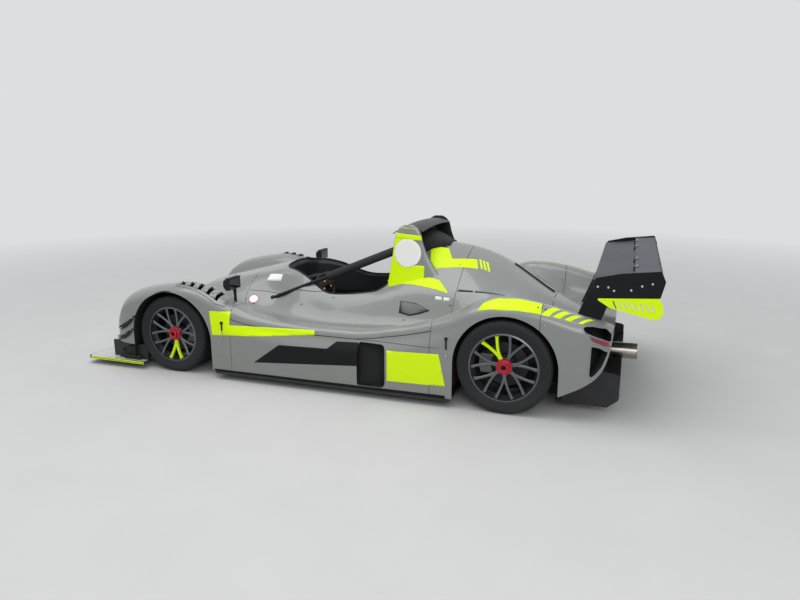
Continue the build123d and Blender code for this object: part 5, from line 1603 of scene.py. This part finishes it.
main_plane = wing_part(aerofoil((-0.502, 0.888), (-0.742, 0.922), 0.085, 0.045))
flap = wing_part(aerofoil((-0.727, 0.936), (-0.869, 0.950), 0.075, 0.04))
gurney = brick((-0.8725, -0.8695), (-WING_Y, WING_Y), (0.946, 0.960), 0.001)
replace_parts(solid("wing_main", [main_plane], WING_CARBON, smooth=40), "wing_planes")
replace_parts(solid("wing_flap", [flap, gurney], FLAP_CARBON, smooth=40), "wing_planes")
HANGERS_Y = (-0.62, -0.30, 0.30, 0.62)
hanger = rounded([(-0.716, 0.905, 0.006), (-0.718, 0.940, 0.008), (-0.752, 0.944, 0.008),
                  (-0.756, 0.915, 0.008)])
solid("wing_hangers", [side_tool(hanger, y - 0.003, 0.006) for y in HANGERS_Y], SATIN_BLACK, bevel=0.001)
flap_bolts = [(-0.737, y, 0.9490) for y in HANGERS_Y]
solid("wing_bolts", bolt_parts(flap_bolts, 0.006, (0.1, 0, 1), 0.003), CUT_METAL, smooth=60)
report("wing_main", "wing_flap", "wing_hangers", "wing_bolts")

# %% Endplates
PLATE = 0.008
UPPER_PLATE = rounded([(-0.512, 0.903, 0.01), (-0.654, 0.936, 0.05), (-0.868, 0.960, 0.012),
                       (-0.894, 0.900, 0.02), (-0.872, 0.8055, 0.01), (-0.520, 0.784, 0.008)])
LOWER_PLATE = rounded([(-0.520, 0.7832, 0.006), (-0.866, 0.8045, 0.004), (-0.888, 0.765, 0.03),
                       (-0.893, 0.712, 0.024), (-0.862, 0.677, 0.022), (-0.605, 0.731, 0.06)])
PLATE_SLOTS, SLOT_PITCH, SLOT_WIDTH, SLOT_SLANT, SLOT_DEEP, SLOT_FALL = 8, 0.030, 0.009, 0.022, 0.048, 0.0015


def plate_slot(k):
    """A slanted slot in the lower plate; k counts from the front."""
    x, z = -0.613 - k * SLOT_PITCH, 0.776 - k * SLOT_FALL
    corners = [(x, z), (x - SLOT_WIDTH, z), (x - SLOT_WIDTH - SLOT_SLANT, z - SLOT_DEEP),
               (x - SLOT_SLANT, z - SLOT_DEEP)]
    return side_tool(rounded([(*corner, 0.003) for corner in corners], 3), WING_Y - 0.01, 0.03)


upper_plate, lower_plate = (side_tool(outline, WING_Y, PLATE) for outline in (UPPER_PLATE, LOWER_PLATE))
upper_plates = solid("endplates_upper", both([upper_plate]), BLACK_FILM, bevel=0.0012)
lower_plates = solid("endplates_lower", both([lower_plate]), LIME)
cut_all(lower_plates, both([plate_slot(k) for k in range(PLATE_SLOTS)]))
for plates in (upper_plates, lower_plates):
    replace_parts(plates, "wing_endplates")
bolts_xz = [(-0.530, 0.852), (-0.588, 0.852), (-0.620, 0.834), (-0.713, 0.842), (-0.770, 0.869),
            (-0.825, 0.885)]
plate_bolts = [(x, WING_Y + PLATE, z) for x, z in bolts_xz]
solid("plate_bolts", both(bolt_parts(plate_bolts, 0.0075, (0, 1, 0), 0.003)), CUT_METAL, smooth=60)
report("endplates_upper", "endplates_lower", "plate_bolts")

# %% [markdown]
# ## Mirrors, catches and small fittings
# Small parts are blocks with rounded corners and a bevel, because light catches their edges.

# %% Mirrors
head_side = rounded([(1.996, 0.648, 0.010), (2.030, 0.650, 0.016), (2.050, 0.680, 0.016),
                     (2.046, 0.720, 0.016), (2.020, 0.734, 0.014), (1.996, 0.734, 0.006)])
stalk_side = rounded([(1.996, 0.440, 0), (2.026, 0.440, 0), (2.022, 0.600, 0.02), (2.030, 0.655, 0.01),
                      (1.999, 0.655, 0.01), (2.002, 0.600, 0.02)])
head, stalk = side_tool(head_side, 0.668, 0.145), side_tool(stalk_side, 0.717, 0.008)
visor = brick((1.992, 2.030), (0.665, 0.815), (0.7335, 0.7385), 0.002)
glass = brick((1.9935, 1.9965), (0.676, 0.805), (0.655, 0.727), 0.0015)
mirror_piece = solid("mirror_heads", both([head, visor, glass, stalk]), [SATIN_BLACK, MIRROR_GLASS],
                     smooth=35, bevel=0.0022, marks=[0, 0, 1, 0] * 2)
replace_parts(mirror_piece, "mirrors")
report("mirror_heads")

# %% Catches, fasteners and exhaust tip
CATCH_Y, CATCH_DEEP = 0.882, 0.004


def catch(x, low, high):
    """A rubber catch on the flank: a black strap, a keeper above, a pale pin below and the pin's ring."""
    # half width, how far it stands out, lower and upper end, corner radius
    blocks = [(0.005, 0.005, low + 0.045, high, 0.004), (0.009, 0.008, high - 0.018, high + 0.002, 0.004),
              (0.0035, 0.004, low, low + 0.05, 0.003), (0.008, 0.005, low - 0.004, low + 0.008, 0.004)]
    return [brick((x - half, x + half), (CATCH_Y - CATCH_DEEP, CATCH_Y + out), (foot, top), corner)
            for half, out, foot, top, corner in blocks]


catches = catch(2.034, 0.325, 0.434) + catch(0.368, 0.345, 0.470)
solid("catches", both(catches), [SATIN_BLACK, CUT_METAL], smooth=40, bevel=0.0012, marks=[0, 0, 1, 1] * 4)
PIN_UP = 0.0004
TOP_PINS = np.array([(1.590, 0.498), (1.340, 0.470), (2.085, 0.300), (2.085, 0.470), (0.430, 0.300),
                     (0.430, 0.560), (-0.190, 0.300), (-0.190, 0.820), (-0.236, 0.820), (-0.190, 0.620),
                     (2.000, 0.500), (0.750, 0.600)])
SIDE_PINS = np.array([(2.060, 0.150), (1.30, 0.110), (0.400, 0.240), (-0.240, 0.600), (2.865, 0.235),
                      (0.420, 0.110)])
top_places = over_top(*TOP_PINS.T, PIN_UP) - (REAR_X, 0, 0)
solid("panel_pins", both(bolt_parts(top_places, 0.0062, (0, 0.25, 1), 0.0024)), SATIN_BLACK, smooth=60)
side_places = over_side(*SIDE_PINS.T, PIN_UP) - (REAR_X, 0, 0)
solid("side_pins", both(bolt_parts(side_places, 0.0055, (0, 1, 0), 0.0022)), CUT_METAL, smooth=60)
PIPE_Y, PIPE_Z, PIPE_R = 0.215, 0.300, 0.053
turn = np.linspace(0, 2 * np.pi, 64, endpoint=False)
tip_x = 0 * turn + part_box("exhaust")[0].x + 0.003
tip_ring = np.stack([tip_x, PIPE_Y + PIPE_R * np.cos(turn), PIPE_Z + PIPE_R * np.sin(turn)], 1)
solid("exhaust_lip", [tube(tip_ring, 0.0028, 10, up=(1, 0, 0), closed=True)], STEEL, smooth=60)
ridge = np.linspace(0.095, -0.200, 12)
ridge_path = over_top(ridge, 0 * ridge, 0.003)
solid("spine_strip", [tube(ridge_path, 0.0085, 12, up=(0, 1, 0))], SATIN_BLACK, smooth=60)
report("catches", "panel_pins", "side_pins", "exhaust_lip", "spine_strip")

# %% Diffuser plates
side_plate = rounded([(-0.335, 0.052, 0.02), (-0.620, 0.046, 0.02), (-0.688, 0.100, 0.02),
                      (-0.688, 0.262, 0.02), (-0.560, 0.285, 0.03), (-0.345, 0.150, 0.05)])
solid("diffuser_plates", both([side_tool(side_plate, 0.6605, 0.006)]), CARBON, bevel=0.0015)
fence = rounded([(-0.380, 0.060, 0), (-0.640, 0.060, 0.02), (-0.686, 0.110, 0.02), (-0.686, 0.176, 0.0)])
solid("diffuser_fences", both([side_tool(fence, y, 0.005) for y in (0.09, 0.37, 0.52)]), CARBON)
report("diffuser_plates", "diffuser_fences")

# %% [markdown]
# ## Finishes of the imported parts
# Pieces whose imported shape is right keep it, and only get their real finish.

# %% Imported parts
FINISH = [
    (CARBON, ["tub", "dash", "undertray", "splitter", "diffuser", "wing_pylons"]),
    (SATIN_BLACK, ["dive_planes", "front_frame", "roll_hoop", "suspension_front", "suspension_rear"]),
    (ALLOY, ["engine", "gearbox", "uprights_rear", "upright_fl", "upright_fr"]),
    (IRON, ["hub_fl", "hub_fr", "hub_rl", "hub_rr"]),
    (STEEL, ["steering_rack", "exhaust"]), (RED_NUT, ["tow_eyes"]), (LAMP_RED, ["tail_lamps"])]
for finish, nodes in FINISH:
    for node in nodes:
        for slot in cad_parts[node].material_slots:
            slot.material = finish
print("finished", sum(len(nodes) for finish, nodes in FINISH), "packed parts")

# %% Close
for piece in PIECES.values():
    if not piece.get("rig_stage"):
        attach(piece, RIDES.get(piece.name, "chassis"))
